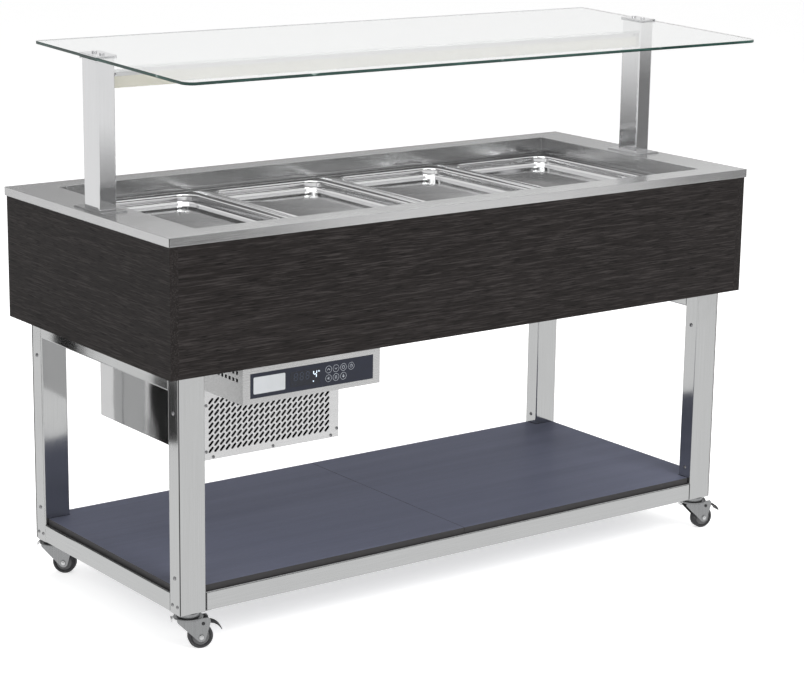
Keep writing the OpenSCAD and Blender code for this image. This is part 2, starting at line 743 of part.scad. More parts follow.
// Fixed heads of the four castors: a bearing disc, the king pin up into the leg and down through the fork.
module castor_heads() color([0.7, 0.71, 0.72]) placed() for (sx = [-1, 1]) {
    for (sy = [-1, 1]) {
        translate([corner_x(sx), corner_y(sy), 0]) {
            translate([0, 0, castor_h - bearing_t]) cylinder(r = crown_r - 8, h = bearing_t);
            translate([0, 0, rivet_z]) cylinder(r = king_r, h = castor_h + king_up - rivet_z, $fn = 14);
            translate([0, 0, rivet_z - rivet_t]) cylinder(r = king_r + 3, h = rivet_t + eps, $fn = 14);
        }
    }
}

// A swivelling fork: crown plate, two tapered side plates, and the fixed axle.
module fork(sx, sy, a, pedal) color(zinc) placed() translate([corner_x(sx), corner_y(sy), 0]) rotate(a) {
    under = crown_z - crown_t;
    difference() {
        translate([0, 0, under]) cylinder(r = crown_r, h = crown_t);
        translate([0, 0, under - 1]) cylinder(r = king_r + run_gap, h = crown_t + 2, $fn = 14);
    }
    for (s = [-1, 1]) {
        translate([0, s * (fork_gap + fork_t / 2) + fork_t / 2, 0]) rotate([90, 0, 0]) linear_extrude(fork_t) difference() {
            polygon([[-20, under + eps], [26, under + eps], [trail + 14, under - 7], [trail + 9, wheel_r - 3],
                [trail + 4, wheel_r - 8], [trail - 4, wheel_r - 8], [trail - 10, wheel_r - 2], [-20, under - 6]]);
            if (pedal) {
                translate([trail + pedal_x, pedal_z]) circle(pedal_pin_r + run_gap, $fn = 14);
            }
        }
    }
    translate([trail, fork_gap + fork_t + 1.5, wheel_r]) rotate([90, 0, 0])
        cylinder(r = axle_r, h = 2 * (fork_gap + fork_t + 1.5), $fn = 14);
}
module fork_front_left() fork(-1, -1, trail_fl, true);
module fork_front_right() fork(1, -1, trail_fr, true);
module fork_back_left() fork(-1, 1, trail_bl, false);
module fork_back_right() fork(1, 1, trail_br, false);

// A wheel with a soft tread, a thinner web and a bored hub.
module wheel(sx, sy, a) color(rubber) placed() translate([corner_x(sx), corner_y(sy), 0]) rotate(a)
    translate([trail, 0, wheel_r]) rotate([90, 0, 0]) rotate_extrude() {
        w = wheel_w / 2;
        bore = axle_r + run_gap;
        polygon([[bore, -w], [bore + 5, -w], [wheel_r - 7, 3 - w], [wheel_r - 6, -w], [wheel_r - 2, -w],
            [wheel_r, 3 - w], [wheel_r, w - 3], [wheel_r - 2, w], [wheel_r - 6, w], [wheel_r - 7, w - 3],
            [bore + 5, w], [bore, w]]);
    }
module wheel_front_left() wheel(-1, -1, trail_fl);
module wheel_front_right() wheel(1, -1, trail_fr);
module wheel_back_left() wheel(-1, 1, trail_bl);
module wheel_back_right() wheel(1, 1, trail_br);

// A brake pedal that tilts on a pin held in the fork's side plates.
module brake(sx, sy, a) color([0.16, 0.16, 0.17]) placed() translate([corner_x(sx), corner_y(sy), 0]) rotate(a)
    translate([trail + pedal_x, 0, pedal_z]) {
        reach = fork_gap + fork_t + 1;
        translate([0, reach, 0]) rotate([90, 0, 0]) cylinder(r = pedal_pin_r, h = 2 * reach, $fn = 14);
        rotate([0, pedal_tilt, 0]) translate([-2, -fork_gap + 2, -1.5]) cube([34, 2 * fork_gap - 4, 3]);
        rotate([0, pedal_tilt, 0]) translate([26, -pedal_w / 2, -2.5]) cube([12, pedal_w, 5]);
    }
module brake_front_left() brake(-1, -1, trail_fl);
module brake_front_right() brake(1, -1, trail_fr);

worktop();
well_rim();
well_tank();
insulation();
tank_casing();
divider_bar_1();
divider_bar_2();
divider_bar_3();
pan_1();
pan_2();
pan_3();
pan_4();
skirt_front();
skirt_back();
skirt_left();
skirt_right();
leg_front_left();
leg_front_right();
leg_back_left();
leg_back_right();
top_rail_left();
top_rail_right();
bottom_rail_left();
bottom_rail_right();
bottom_rail_front();
bottom_rail_back();
shelf_left();
shelf_right();
post_left();
post_right();
clamp_plates();
canopy_glass();
light_housing();
light_diffuser();
unit_tray();
front_grille();
unit_cover();
compressor();
condenser();
fan_shroud();
fan_motor();
fan_blade();
pipework();
control_box();
control_panel();
cable_gland();
drain_valve();
drain_lever();
castor_heads();
fork_front_left();
fork_front_right();
fork_back_left();
fork_back_right();
wheel_front_left();
wheel_front_right();
wheel_back_left();
wheel_back_right();
brake_front_left();
brake_front_right();
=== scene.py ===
import bpy
import bmesh
import math
from mathutils import Matrix, Vector


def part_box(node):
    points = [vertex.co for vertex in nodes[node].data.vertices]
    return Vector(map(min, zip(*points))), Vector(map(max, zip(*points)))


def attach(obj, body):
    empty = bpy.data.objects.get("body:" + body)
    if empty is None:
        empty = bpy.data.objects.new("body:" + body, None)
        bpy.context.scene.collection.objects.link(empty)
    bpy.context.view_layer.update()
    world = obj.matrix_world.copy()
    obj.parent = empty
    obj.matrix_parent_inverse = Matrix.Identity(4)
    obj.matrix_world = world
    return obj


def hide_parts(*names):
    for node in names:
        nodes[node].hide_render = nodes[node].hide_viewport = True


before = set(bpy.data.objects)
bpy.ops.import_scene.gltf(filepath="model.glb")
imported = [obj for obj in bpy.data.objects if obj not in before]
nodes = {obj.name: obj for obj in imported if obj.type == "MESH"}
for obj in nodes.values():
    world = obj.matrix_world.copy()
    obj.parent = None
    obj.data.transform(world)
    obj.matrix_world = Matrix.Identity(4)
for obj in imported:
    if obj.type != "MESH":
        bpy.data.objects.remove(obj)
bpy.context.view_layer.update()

LEGS = ("leg_front_left", "leg_front_right", "leg_back_left", "leg_back_right")
WHITE = (1, 1, 1, 1)
# How far the middle of the counter lies behind the middle of the whole object
SHIFT_Y = 0.017494

# ---------------------------------------------------------------- camera
# A pinhole camera fitted to the photograph: angles in radians, focal length in pixels. It has no
# shift, because the other views keep the shift and would lose the object.
IMAGE_W, SENSOR_W = 804, 36
CAM_POS = Vector((-2.951139, -4.007281, 1.690024))
CAM_YAW, CAM_PITCH, CAM_ROLL = 0.639583, 0.240288, 0.01435
CAM_F = 2335
CLIP_NEAR, CLIP_FAR = 0.05, 200


def link(obj):
    bpy.context.scene.collection.objects.link(obj)
    return obj


def make_camera():
    level = math.cos(CAM_PITCH)
    look = Vector((math.sin(CAM_YAW) * level, math.cos(CAM_YAW) * level, -math.sin(CAM_PITCH)))
    side = Vector((math.cos(CAM_YAW), -math.sin(CAM_YAW), 0))
    up = side.cross(look)
    right = side * math.cos(CAM_ROLL) + up * math.sin(CAM_ROLL)
    above = up * math.cos(CAM_ROLL) - side * math.sin(CAM_ROLL)
    data = bpy.data.cameras.new("camera")
    data.sensor_width = SENSOR_W
    data.sensor_fit = "HORIZONTAL"
    data.lens = CAM_F / IMAGE_W * SENSOR_W
    data.clip_start, data.clip_end = CLIP_NEAR, CLIP_FAR
    cam = link(bpy.data.objects.new("camera", data))
    cam.matrix_world = Matrix((
        (right.x, above.x, -look.x, CAM_POS.x),
        (right.y, above.y, -look.y, CAM_POS.y),
        (right.z, above.z, -look.z, CAM_POS.z),
        (0, 0, 0, 1)))
    bpy.context.scene.camera = cam


# ---------------------------------------------------------------- node helpers
def rgba(colour):
    """A socket as it is, or three numbers with an alpha of 1."""
    return colour if isinstance(colour, bpy.types.NodeSocket) else tuple(colour) + (1,)


def scaled(colour, by):
    return tuple(c * by for c in colour)


def stretch(axis, along, across):
    """A mapping scale that draws a pattern out along one axis."""
    return tuple(along if k == axis else across for k in range(3))


class Tree:
    """Short calls for building the nodes of a material or of the world."""

    def __init__(self, owner, out, where):
        owner.use_nodes = True
        self.owner = owner
        self.nt = owner.node_tree
        self.nt.nodes.clear()
        self.out = self.nt.nodes.new(out)
        self.where = self.nt.nodes.new("ShaderNodeTexCoord").outputs[where]

    def set(self, socket, value):
        if isinstance(value, bpy.types.NodeSocket):
            self.nt.links.new(value, socket)
        elif value is not None:
            socket.default_value = value

    def node(self, kind, **sockets):
        """A node whose sockets are set or linked by name, with _ for a space."""
        n = self.nt.nodes.new(kind)
        for key, value in sockets.items():
            self.set(n.inputs[key.replace("_", " ")], value)
        return n

    def map(self, scale=(1, 1, 1), shift=(0, 0, 0)):
        n = self.node("ShaderNodeMapping", Vector=self.where, Scale=scale, Location=shift)
        return n.outputs["Vector"]

    def noise(self, vector, scale=1.0, detail=3.0, rough=0.5, twist=0.0):
        n = self.node("ShaderNodeTexNoise", Vector=vector, Scale=scale, Detail=detail,
                      Roughness=rough, Distortion=twist)
        return n.outputs["Fac"]

    def ramp(self, fac, stops):
        n = self.node("ShaderNodeValToRGB", Fac=fac)
        items = n.color_ramp.elements
        while len(items) < len(stops):
            items.new(0.5)
        for item, (at, colour) in zip(items, stops):
            item.position = at
            item.color = rgba(colour)
        return n.outputs["Color"]

    def span(self, fac, low, high, from_low=0.3, from_high=0.7):
        n = self.node("ShaderNodeMapRange", Value=fac, From_Min=from_low, From_Max=from_high,
                      To_Min=low, To_Max=high)
        return n.outputs["Result"]

    def mix(self, fac, a, b):
        """A blend of two colours."""
        n = self.nt.nodes.new("ShaderNodeMix")
        n.data_type = "RGBA"
        for at, value in ((0, fac), (6, rgba(a)), (7, rgba(b))):
            self.set(n.inputs[at], value)
        return n.outputs[2]

    def math(self, mode, a, b=0.0):
        n = self.nt.nodes.new("ShaderNodeMath")
        n.operation = mode
        self.set(n.inputs[0], a)
        self.set(n.inputs[1], b)
        return n.outputs[0]

    def bump(self, height, strength=0.1, distance=0.001, after=None):
        n = self.node("ShaderNodeBump", Height=height, Strength=strength, Distance=distance,
                      Normal=after)
        return n.outputs["Normal"]

    def shader(self, colour, rough, normal=None, **more):
        n = self.node("ShaderNodeBsdfPrincipled", Base_Color=rgba(colour), Roughness=rough,
                      Normal=normal, **more)
        return n.outputs[0]

    def blend(self, fac, a, b):
        """A blend of two shaders."""
        n = self.nt.nodes.new("ShaderNodeMixShader")
        for socket, value in zip(n.inputs, (fac, a, b)):
            self.nt.links.new(value, socket)
        return n.outputs[0]

    def upright(self, vector):
        """The Z part of a vector."""
        return self.node("ShaderNodeSeparateXYZ", Vector=vector).outputs["Z"]

    def done(self, surface):
        self.nt.links.new(surface, self.out.inputs["Surface"])
        return self.owner


def material(name):
    return Tree(bpy.data.materials.new(name), "ShaderNodeOutputMaterial", "Object")


# ---------------------------------------------------------------- materials
# Noise scales are in cycles per metre, bump distances in metres.
BEVEL_SAMPLES = 4
GRAIN_ACROSS, GRAIN_ALONG = 2200, 14
BAND_ACROSS, BAND_ALONG = 990, 9
RUBBED = 0.03


def metal(name, colour, rough, axis, grain=0.05, tone=0.02, patch=9, wave=0.0, edge=0.0008):
    """Brushed or polished metal: grain along one axis, faint clouding, rubbed patches, slow waves
    in the sheet and eased edges."""
    t = material(name)
    eased = t.node("ShaderNodeBevel", Radius=edge)
    eased.samples = BEVEL_SAMPLES
    base = eased.outputs["Normal"]
    if wave:
        base = t.bump(t.noise(t.map(), 7, 1, 0.4), wave, 0.004, base)
    lines = t.noise(t.map(stretch(axis, GRAIN_ALONG, GRAIN_ACROSS)), 1, 2)
    bands = t.noise(t.map(stretch(axis, BAND_ALONG, BAND_ACROSS)), 1, 2)
    clouds = t.noise(t.map(), patch, 3, 0.55, 0.4)
    shade = t.mix(t.span(bands, 0, 1), scaled(colour, 1 - 2 * tone), scaled(colour, 1 + tone))
    shade = t.mix(t.span(clouds, 0, 0.3, 0.45, 0.75), shade, scaled(colour, 0.94))
    level = t.math("ADD", t.span(lines, rough - grain, rough + grain),
                   t.span(clouds, 0, RUBBED, 0.45, 0.75))
    return t.done(t.shader(shade, level, t.bump(lines, 0.02, 0.0004, base), Metallic=1.0))


def wenge(name, axis):
    """Dark laminate with a fine straight grain: pale pores in dark brown-grey."""
    t = material(name)
    wide = t.noise(t.map(stretch(axis, 1.5, 60)), 1, 3, 0.5, 0.25)
    fine = t.noise(t.map(stretch(axis, 12, 330)), 1, 3, 0.6, 0.15)
    pores = t.noise(t.map(stretch(axis, 26, 620), shift=(3, 7, 1)), 1, 2, 0.6)
    base = t.ramp(wide, [(0.3, (0.0165, 0.0138, 0.0132)), (0.5, (0.0205, 0.0174, 0.0168)),
                         (0.7, (0.0255, 0.0218, 0.0212))])
    base = t.mix(t.span(fine, 0, 0.8, 0.48, 0.66), base, (0.058, 0.051, 0.05))
    base = t.mix(t.span(pores, 0, 0.85, 0.53, 0.66), base, (0.0035, 0.003, 0.003))
    relief = t.math("SUBTRACT", t.math("MULTIPLY", fine, 0.6),
                    t.math("MULTIPLY", t.span(pores, 0, 1, 0.55, 0.72), 0.4))
    return t.done(t.shader(base, t.span(fine, 0.46, 0.62), t.bump(relief, 0.35, 0.0006),
                           Specular_IOR_Level=0.14))


def shelf_board(name):
    """Blue-grey laminate with a fine grain along the counter; the upright edges are darker."""
    t = material(name)
    wide = t.noise(t.map((1.1, 26, 26)), 1, 4, 0.6, 0.2)
    fine = t.noise(t.map((40, 300, 300)), 1, 3, 0.6, 0.3)
    grit = t.noise(t.map(), 1400, 2, 0.6)
    top = t.ramp(wide, [(0.3, (0.128, 0.138, 0.196)), (0.52, (0.142, 0.153, 0.216)),
                        (0.72, (0.158, 0.170, 0.238))])
    top = t.mix(t.span(fine, 0, 0.4, 0.45, 0.7), top, (0.215, 0.23, 0.315))
    top = t.mix(t.span(grit, 0, 0.3, 0.5, 0.7), top, (0.085, 0.09, 0.128))
    up = t.upright(t.node("ShaderNodeNewGeometry").outputs["Normal"])
    flat = t.math("GREATER_THAN", t.math("ABSOLUTE", up), 0.5)
    relief = t.math("ADD", t.math("MULTIPLY", fine, 0.6), t.math("MULTIPLY", grit, 0.4))
    return t.done(t.shader(t.mix(flat, (0.06, 0.058, 0.06), top), t.span(fine, 0.36, 0.5),
                           t.bump(relief, 0.22, 0.0005), Specular_IOR_Level=0.16))


def plastic(name, colour, rough, grain=1600, bump=0.12, vary=0.15, spec=0.5, coat=0.0):
    """Moulded plastic: a fine pebble, a little unevenness in tone, and sheen that varies."""
    t = material(name)
    pebble = t.noise(t.map(), grain, 3, 0.6)
    clouds = t.noise(t.map(), 24, 3, 0.5, 0.3)
    shade = t.mix(t.span(clouds, 0, 1), scaled(colour, 1 - vary), scaled(colour, 1 + vary))
    level = t.math("ADD", t.span(clouds, rough - 0.04, rough + 0.04), t.span(pebble, -0.03, 0.03))
    return t.done(t.shader(shade, level, t.bump(pebble, bump, 0.0003), Specular_IOR_Level=spec,
                           Coat_Weight=coat))


def paint(name, colour, rough):
    """Sprayed enamel with orange peel and dust on it."""
    t = material(name)
    peel = t.noise(t.map(), 260, 2)
    dust = t.noise(t.map(), 55, 4, 0.6, 0.5)
    shade = t.mix(t.span(dust, 0, 0.3, 0.5, 0.8), colour, tuple(c * 1.5 + 0.02 for c in colour))
    return t.done(t.shader(shade, t.span(dust, rough - 0.05, rough + 0.12),
                           t.bump(peel, 0.08, 0.0005), Coat_Weight=0.3))


def rubber_tread(name):
    """Grey tyre rubber with scuffs and fine dust."""
    t = material(name)
    pebble = t.noise(t.map(), 1200, 3, 0.6)
    scuff = t.noise(t.map(), 120, 4, 0.65, 0.8)
    shade = t.ramp(scuff, [(0.35, (0.045, 0.045, 0.048)), (0.55, (0.062, 0.062, 0.066)),
                           (0.75, (0.12, 0.118, 0.115))])
    return t.done(t.shader(shade, t.span(scuff, 0.55, 0.75), t.bump(pebble, 0.3, 0.0004),
                           Specular_IOR_Level=0.3))


def foam(name):
    """Cut foam with open cells; the pits of the cells are painted darker as shade."""
    t = material(name)
    cell_and_pit_shade = t.node("ShaderNodeTexVoronoi", Vector=t.map(), Scale=420).outputs["Distance"]
    # Darker towards the middle of each cell, where the pits are: painted shade.
    shade = t.ramp(cell_and_pit_shade, [(0.0, (0.45, 0.38, 0.2)), (0.4, (0.72, 0.64, 0.4)),
                          (0.9, (0.8, 0.73, 0.5))])
    return t.done(t.shader(shade, t.span(cell_and_pit_shade, 0.8, 0.95, 0, 1), t.bump(cell_and_pit_shade, 0.5, 0.001)))


def clear_glass(name, tint):
    """Float glass with faint wipe marks, letting lamps through."""
    t = material(name)
    smear = t.noise(t.map(), 14, 4, 0.55, 0.6)
    ripple = t.noise(t.map(), 3, 2)
    film = t.mix(t.span(smear, 0, 1, 0.4, 0.8), tint, scaled(tint, 0.985))
    glass = t.shader(film, t.span(smear, 0.0, 0.03, 0.5, 0.8), t.bump(ripple, 0.02, 0.0002),
                     Transmission_Weight=1.0, IOR=1.5)
    clear = t.node("ShaderNodeBsdfTransparent", Color=(0.93, 0.97, 0.95, 1))
    ray = t.node("ShaderNodeLightPath")
    return t.done(t.blend(ray.outputs["Is Shadow Ray"], glass, clear.outputs[0]))


def glass_edge(name):
    """The ground and polished edge of a glass sheet: deep green, with streaks of light and glints along
    it that are painted highlights.
    """
    t = material(name)
    painted_light_streak = t.noise(t.map((9, 9, 260)), 1, 3, 0.6, 0.5)
    painted_glint = t.noise(t.map((26, 26, 60)), 1, 2)
    # The streaks ramp up to a paler green and the glints to a pale grey-green: painted highlights along
    # the edge.
    shade = t.ramp(painted_light_streak, [(0.35, (0.006, 0.026, 0.021)), (0.55, (0.014, 0.058, 0.046)),
                            (0.75, (0.05, 0.14, 0.115))])
    shade = t.mix(t.span(painted_glint, 0, 0.8, 0.66, 0.74), shade, (0.4, 0.52, 0.48))
    return t.done(t.shader(shade, t.span(painted_light_streak, 0.08, 0.2), t.bump(painted_light_streak, 0.06, 0.0003)))


def milky(name, colour):
    """Opal plastic of the light bar, softly ribbed along its length."""
    t = material(name)
    ribs = t.noise(t.map((1, 500, 500)), 1, 2)
    shade = t.mix(t.span(t.noise(t.map(), 12), 0, 1), scaled(colour, 0.94), colour)
    return t.done(t.shader(shade, t.span(ribs, 0.32, 0.45), t.bump(ribs, 0.1, 0.0004),
                           Subsurface_Weight=0.2, Subsurface_Radius=(0.01, 0.01, 0.008)))


def fins(name, colour):
    """Thin aluminium fins set close across the coil, some of them dented; the gaps between them are
    painted near black as shade.
    """
    t = material(name)
    wave = t.node("ShaderNodeTexWave", Vector=t.map(), Scale=160, Distortion=0.6, Detail=1)
    wave.wave_type, wave.bands_direction, wave.wave_profile = "BANDS", "X", "SIN"
    ridge_and_gap_shade = wave.outputs["Fac"]
    dents = t.noise(t.map(), 40, 3, 0.6)
    # Between the ridges the colour goes near black: painted shade in the gaps between the fins.
    shade = t.mix(ridge_and_gap_shade, (0.03, 0.03, 0.03), colour)
    return t.done(t.shader(shade, t.span(dents, 0.35, 0.55), t.bump(ridge_and_gap_shade, 0.5), Metallic=0.8))


def glow(name, colour, level):
    """A segment behind tinted plastic: a lit one glows with the display's own light, and a dim one, which
    is off, is given a faint painted glow.
    """
    t = material(name)
    spread = t.noise(t.map(), 900, 2)
    shade = t.mix(t.span(spread, 0, 1), scaled(colour, 0.85), colour)
    return t.done(t.shader(shade, t.span(spread, 0.3, 0.4), Emission_Color=shade,
                           Emission_Strength=level))


FRAME_TONE = (0.54, 0.545, 0.545)
LOOK = {
    "worktop": metal("worktop_steel", (0.6, 0.6, 0.603), 0.2, 0, 0.04, edge=0.0015),
    "well": metal("well_steel", (0.5, 0.5, 0.503), 0.17, 0, 0.04),
    "pan": metal("pan_steel", (0.74, 0.74, 0.745), 0.09, 0, 0.03, patch=14, edge=0.0004),
    "bar": metal("bar_steel", (0.55, 0.55, 0.553), 0.16, 1),
    "casing": metal("casing_steel", (0.45, 0.45, 0.453), 0.4, 0, tone=0.05),
    "leg": metal("frame_steel_up", FRAME_TONE, 0.1, 2, 0.03, wave=0.5, edge=0.0016),
    "side": metal("frame_steel_side", FRAME_TONE, 0.1, 1, 0.03, wave=0.4, edge=0.0016),
    "long": metal("frame_steel_long", FRAME_TONE, 0.12, 0, 0.03, wave=0.3, edge=0.0016),
    "post": metal("post_steel", (0.72, 0.722, 0.73), 0.06, 2, 0.02, wave=0.15, edge=0.001),
    "unit": metal("unit_steel", (0.6, 0.6, 0.603), 0.06, 2, 0.02, wave=0.4, edge=0.001),
    "grille": metal("grille_steel", (0.74, 0.74, 0.743), 0.28, 0),
    "box": metal("control_box_steel", (0.62, 0.62, 0.62), 0.26, 0, edge=0.0012),
    "light": metal("light_aluminium", (0.6, 0.6, 0.605), 0.3, 0),
    "coil": fins("coil_fins", (0.1, 0.1, 0.105)),
    "blade": metal("blade_aluminium", (0.55, 0.55, 0.56), 0.38, 0, 0.06, 0.06),
    "copper": metal("copper_pipe", (0.72, 0.38, 0.24), 0.34, 2, 0.06, 0.15),
    "brass": metal("valve_brass", (0.68, 0.52, 0.26), 0.36, 2, 0.06, 0.12),
    "zinc": metal("castor_zinc", (0.33, 0.335, 0.34), 0.28, 2, 0.06, 0.06, patch=60),
    "screw": metal("screw_steel", (0.4, 0.4, 0.41), 0.25, 2, 0.05, 0.06, patch=200),
    "bright": metal("bright_zinc", (0.68, 0.685, 0.69), 0.2, 2, 0.05, 0.05, patch=120),
    "wenge_x": wenge("wenge_along", 0),
    "wenge_y": wenge("wenge_across", 1),
    "shelf": shelf_board("shelf_laminate"),
    "glass": clear_glass("canopy_glass_clear", (0.975, 0.985, 0.982)),
    "glass_edge": glass_edge("canopy_glass_edge"),
    "diffuser": milky("light_opal", (0.5, 0.475, 0.42)),
    "foam": foam("cut_foam"),
    "black_paint": paint("black_enamel", (0.018, 0.018, 0.02), 0.32),
    "shroud": paint("shroud_enamel", (0.03, 0.03, 0.033), 0.45),
    "panel": plastic("panel_gloss", (0.017, 0.020, 0.034), 0.2, 2400, 0.03, 0.1, 0.3, 0.1),
    "gland": plastic("gland_black", (0.02, 0.02, 0.021), 0.45),
    "pedal": plastic("pedal_black", (0.026, 0.026, 0.028), 0.5, 1100, 0.25),
    "lever": plastic("lever_red", (0.42, 0.02, 0.015), 0.35),
    "rubber": rubber_tread("wheel_rubber"),
}
USES = {
    "worktop": ["worktop"],
    "well": ["well_rim", "well_tank"],
    "pan": ["pan_1", "pan_2", "pan_3", "pan_4"],
    "bar": ["divider_bar_1", "divider_bar_2", "divider_bar_3"],
    "casing": ["tank_casing"],
    "leg": LEGS,
    "post": ["post_left", "post_right", "clamp_plates"],
    "side": ["top_rail_left", "top_rail_right", "bottom_rail_left", "bottom_rail_right"],
    "long": ["bottom_rail_front", "bottom_rail_back"],
    "unit": ["unit_tray", "unit_cover"],
    "grille": ["front_grille"],
    "box": ["control_box"],
    "light": ["light_housing"],
    "coil": ["condenser"],
    "blade": ["fan_blade"],
    "copper": ["pipework"],
    "brass": ["drain_valve"],
    "zinc": ["castor_heads", "fork_front_left", "fork_front_right", "fork_back_left",
             "fork_back_right"],
    "wenge_x": ["skirt_front", "skirt_back"],
    "wenge_y": ["skirt_left", "skirt_right"],
    "shelf": ["shelf_left", "shelf_right"],
    "glass": ["canopy_glass"],
    "diffuser": ["light_diffuser"],
    "foam": ["insulation"],
    "black_paint": ["compressor"],
    "shroud": ["fan_shroud", "fan_motor"],
    "panel": ["control_panel"],
    "gland": ["cable_gland"],
    "pedal": ["brake_front_left", "brake_front_right"],
    "lever": ["drain_lever"],
    "rubber": ["wheel_front_left", "wheel_front_right", "wheel_back_left", "wheel_back_right"],
}


def dress_nodes():
    for look, names in USES.items():
        for name in names:
            data = nodes[name].data
            data.materials.clear()
            data.materials.append(LOOK[look])


# ---------------------------------------------------------------- mesh helpers
def new_piece(name, bm, look, body, smooth=35):
    """A visual piece on a body; faces that meet at more than the smooth angle keep a sharp edge."""
    bmesh.ops.recalc_face_normals(bm, faces=bm.faces)
    mesh = mesh_from(name, bm, LOOK[look] if isinstance(look, str) else look)
    for face in mesh.polygons:
        face.use_smooth = True
    mesh.set_sharp_from_angle(angle=math.radians(smooth))
    obj = link(bpy.data.objects.new(name, mesh))
    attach(obj, body)
    return obj


def mesh_from(name, bm, look):
    mesh = bpy.data.meshes.new(name)
    bm.to_mesh(mesh)
    bm.free()
    mesh.materials.append(look)
    return mesh


def frame_at(point, normal, turn=0.0):
    """A matrix whose Z axis is the normal at a point."""
    z = Vector(normal).normalized()
    x = Vector((0, 0, 1)).cross(z) if abs(z.z) < 0.9 else Vector((1, 0, 0))
    x.normalize()
    m = Matrix((x, z.cross(x), z)).transposed().to_4x4()
    return Matrix.Translation(Vector(point)) @ m @ Matrix.Rotation(turn, 4, "Z")


def circle(r, h, matrix, sides):
    angles = [2 * math.pi * k / sides for k in range(sides)]
    return [matrix @ Vector((r * math.cos(a), r * math.sin(a), h)) for a in angles]


def add_skin(bm, a, b):
    """Four-sided faces between two rings of vertices."""
    for k in range(len(a)):
        q = (k + 1) % len(a)
        bm.faces.new((a[k], a[q], b[q], b[k]))


def add_lathe(bm, profile, matrix, sides=24):
    """A turned shape: profile points are (radius, height); a radius of 0 closes it."""
    rings = [[bm.verts.new(v) for v in circle(r, h, matrix, sides if r else 1)] for r, h in profile]
    for a, b in zip(rings, rings[1:]):
        for k in range(sides):
            q = (k + 1) % sides
            if len(a) == 1:
                bm.faces.new((a[0], b[k], b[q]))
            elif len(b) == 1:
                bm.faces.new((a[k], b[0], a[q]))
            else:
                bm.faces.new((a[k], b[k], b[q], a[q]))


def add_ring(bm, outer, inner, height, matrix, sides=32):
    add_lathe(bm, [(inner, 0), (outer, 0), (outer, height), (inner, height), (inner, 0)], matrix, sides)


def add_prism(bm, outline, height, matrix):
    """A flat outline of (x, y) points raised by a height."""
    low, high = ([bm.verts.new(matrix @ Vector((x, y, z))) for x, y in outline] for z in (0, height))
    bm.faces.new(low[::-1])
    bm.faces.new(high)
    add_skin(bm, low, high)


def loft(bm, rings, closed=False):
    """A skin over rings of points; its ends are capped, unless the skin closes on itself."""
    rows = [[bm.verts.new(v) for v in ring] for ring in rings]
    for a, b in zip(rows, rows[1:]):
        add_skin(bm, a, b)
    if closed:
        add_skin(bm, rows[-1], rows[0])
    else:
        bm.faces.new(rows[0][::-1])
        bm.faces.new(rows[-1])


def rounded(cx, cy, w, h, radius, steps=5):
    """The outline of a rectangle with round corners, counterclockwise. The radius is one number, or
    one for the corners at +Y and one for those at -Y."""
    far, near = radius if isinstance(radius, tuple) else (radius, radius)
    pts = []
    for sx, sy, start in ((1, 1, 0), (-1, 1, 90), (-1, -1, 180), (1, -1, 270)):
        r = far if sy > 0 else near
        for k in range(steps + 1):
            a = math.radians(start + 90 * k / steps)
            pts.append((cx + sx * (w / 2 - r) + r * math.cos(a), cy + sy * (h / 2 - r) + r * math.sin(a)))
    return pts


def add_box(bm, low, high):
    around = ((low[0], low[1]), (high[0], low[1]), (high[0], high[1]), (low[0], high[1]))
    loft(bm, [[Vector((x, y, z)) for x, y in around] for z in (low[2], high[2])])


# ---------------------------------------------------------------- screws
HEAD_SIDES = 24
# Shares of the head's radius: its height, the flat land on top, and the socket across flats
HEAD_RISE, HEAD_LAND, HEAD_SOCKET = 0.55, 0.45, 0.42
# Shares of the head's height: its straight side, and the floor of the socket
HEAD_SIDE, SOCKET_FLOOR = 0.3, 0.25
HEAD_ARC = (0.35, 0.7, 1.0)

# Two screws on each side of a leg, and a pair beside the bottom rail on the outside
LEG_SCREW_Z, LEG_SCREW_R = (0.4877, 0.1513), 0.0042
FOOT_SCREW_Y, FOOT_SCREW_Z, FOOT_SCREW_R = 0.0095, 0.094, 0.0036
GRILLE_SCREW_R = 0.0034
GRILLE_SCREWS = ((-0.580, 0.4617), (-0.580, 0.3656), (-0.5634, 0.353), (-0.420, 0.353),
                 (-0.2766, 0.353), (-0.2615, 0.366))


def add_button_head(bm, point, normal, r, turn=0.0):
    """A domed screw head with a hexagonal socket."""
    m = frame_at(point, normal, turn)
    h = r * HEAD_RISE
    dome = [(r * math.cos(a), h * (HEAD_SIDE + (1 - HEAD_SIDE) * math.sin(a))) for a in HEAD_ARC]
    add_lathe(bm, [(r, 0), (r, h * HEAD_SIDE)] + dome + [(r * HEAD_LAND, h)], m, HEAD_SIDES)
    six, floor = [], []
    for k in range(HEAD_SIDES):
        a = 2 * math.pi * k / HEAD_SIDES
        flat = r * HEAD_SOCKET * math.cos(math.pi / 6) / math.cos((a % (math.pi / 3)) - math.pi / 6)
        x, y = flat * math.cos(a), flat * math.sin(a)
        six.append(bm.verts.new(m @ Vector((x, y, h))))
        floor.append(bm.verts.new(m @ Vector((x, y, h * SOCKET_FLOOR))))
    land = [bm.verts.new(v) for v in circle(r * HEAD_LAND, h, m, HEAD_SIDES)]
    add_skin(bm, land, six)
    add_skin(bm, six, floor)
    bm.faces.new(floor)


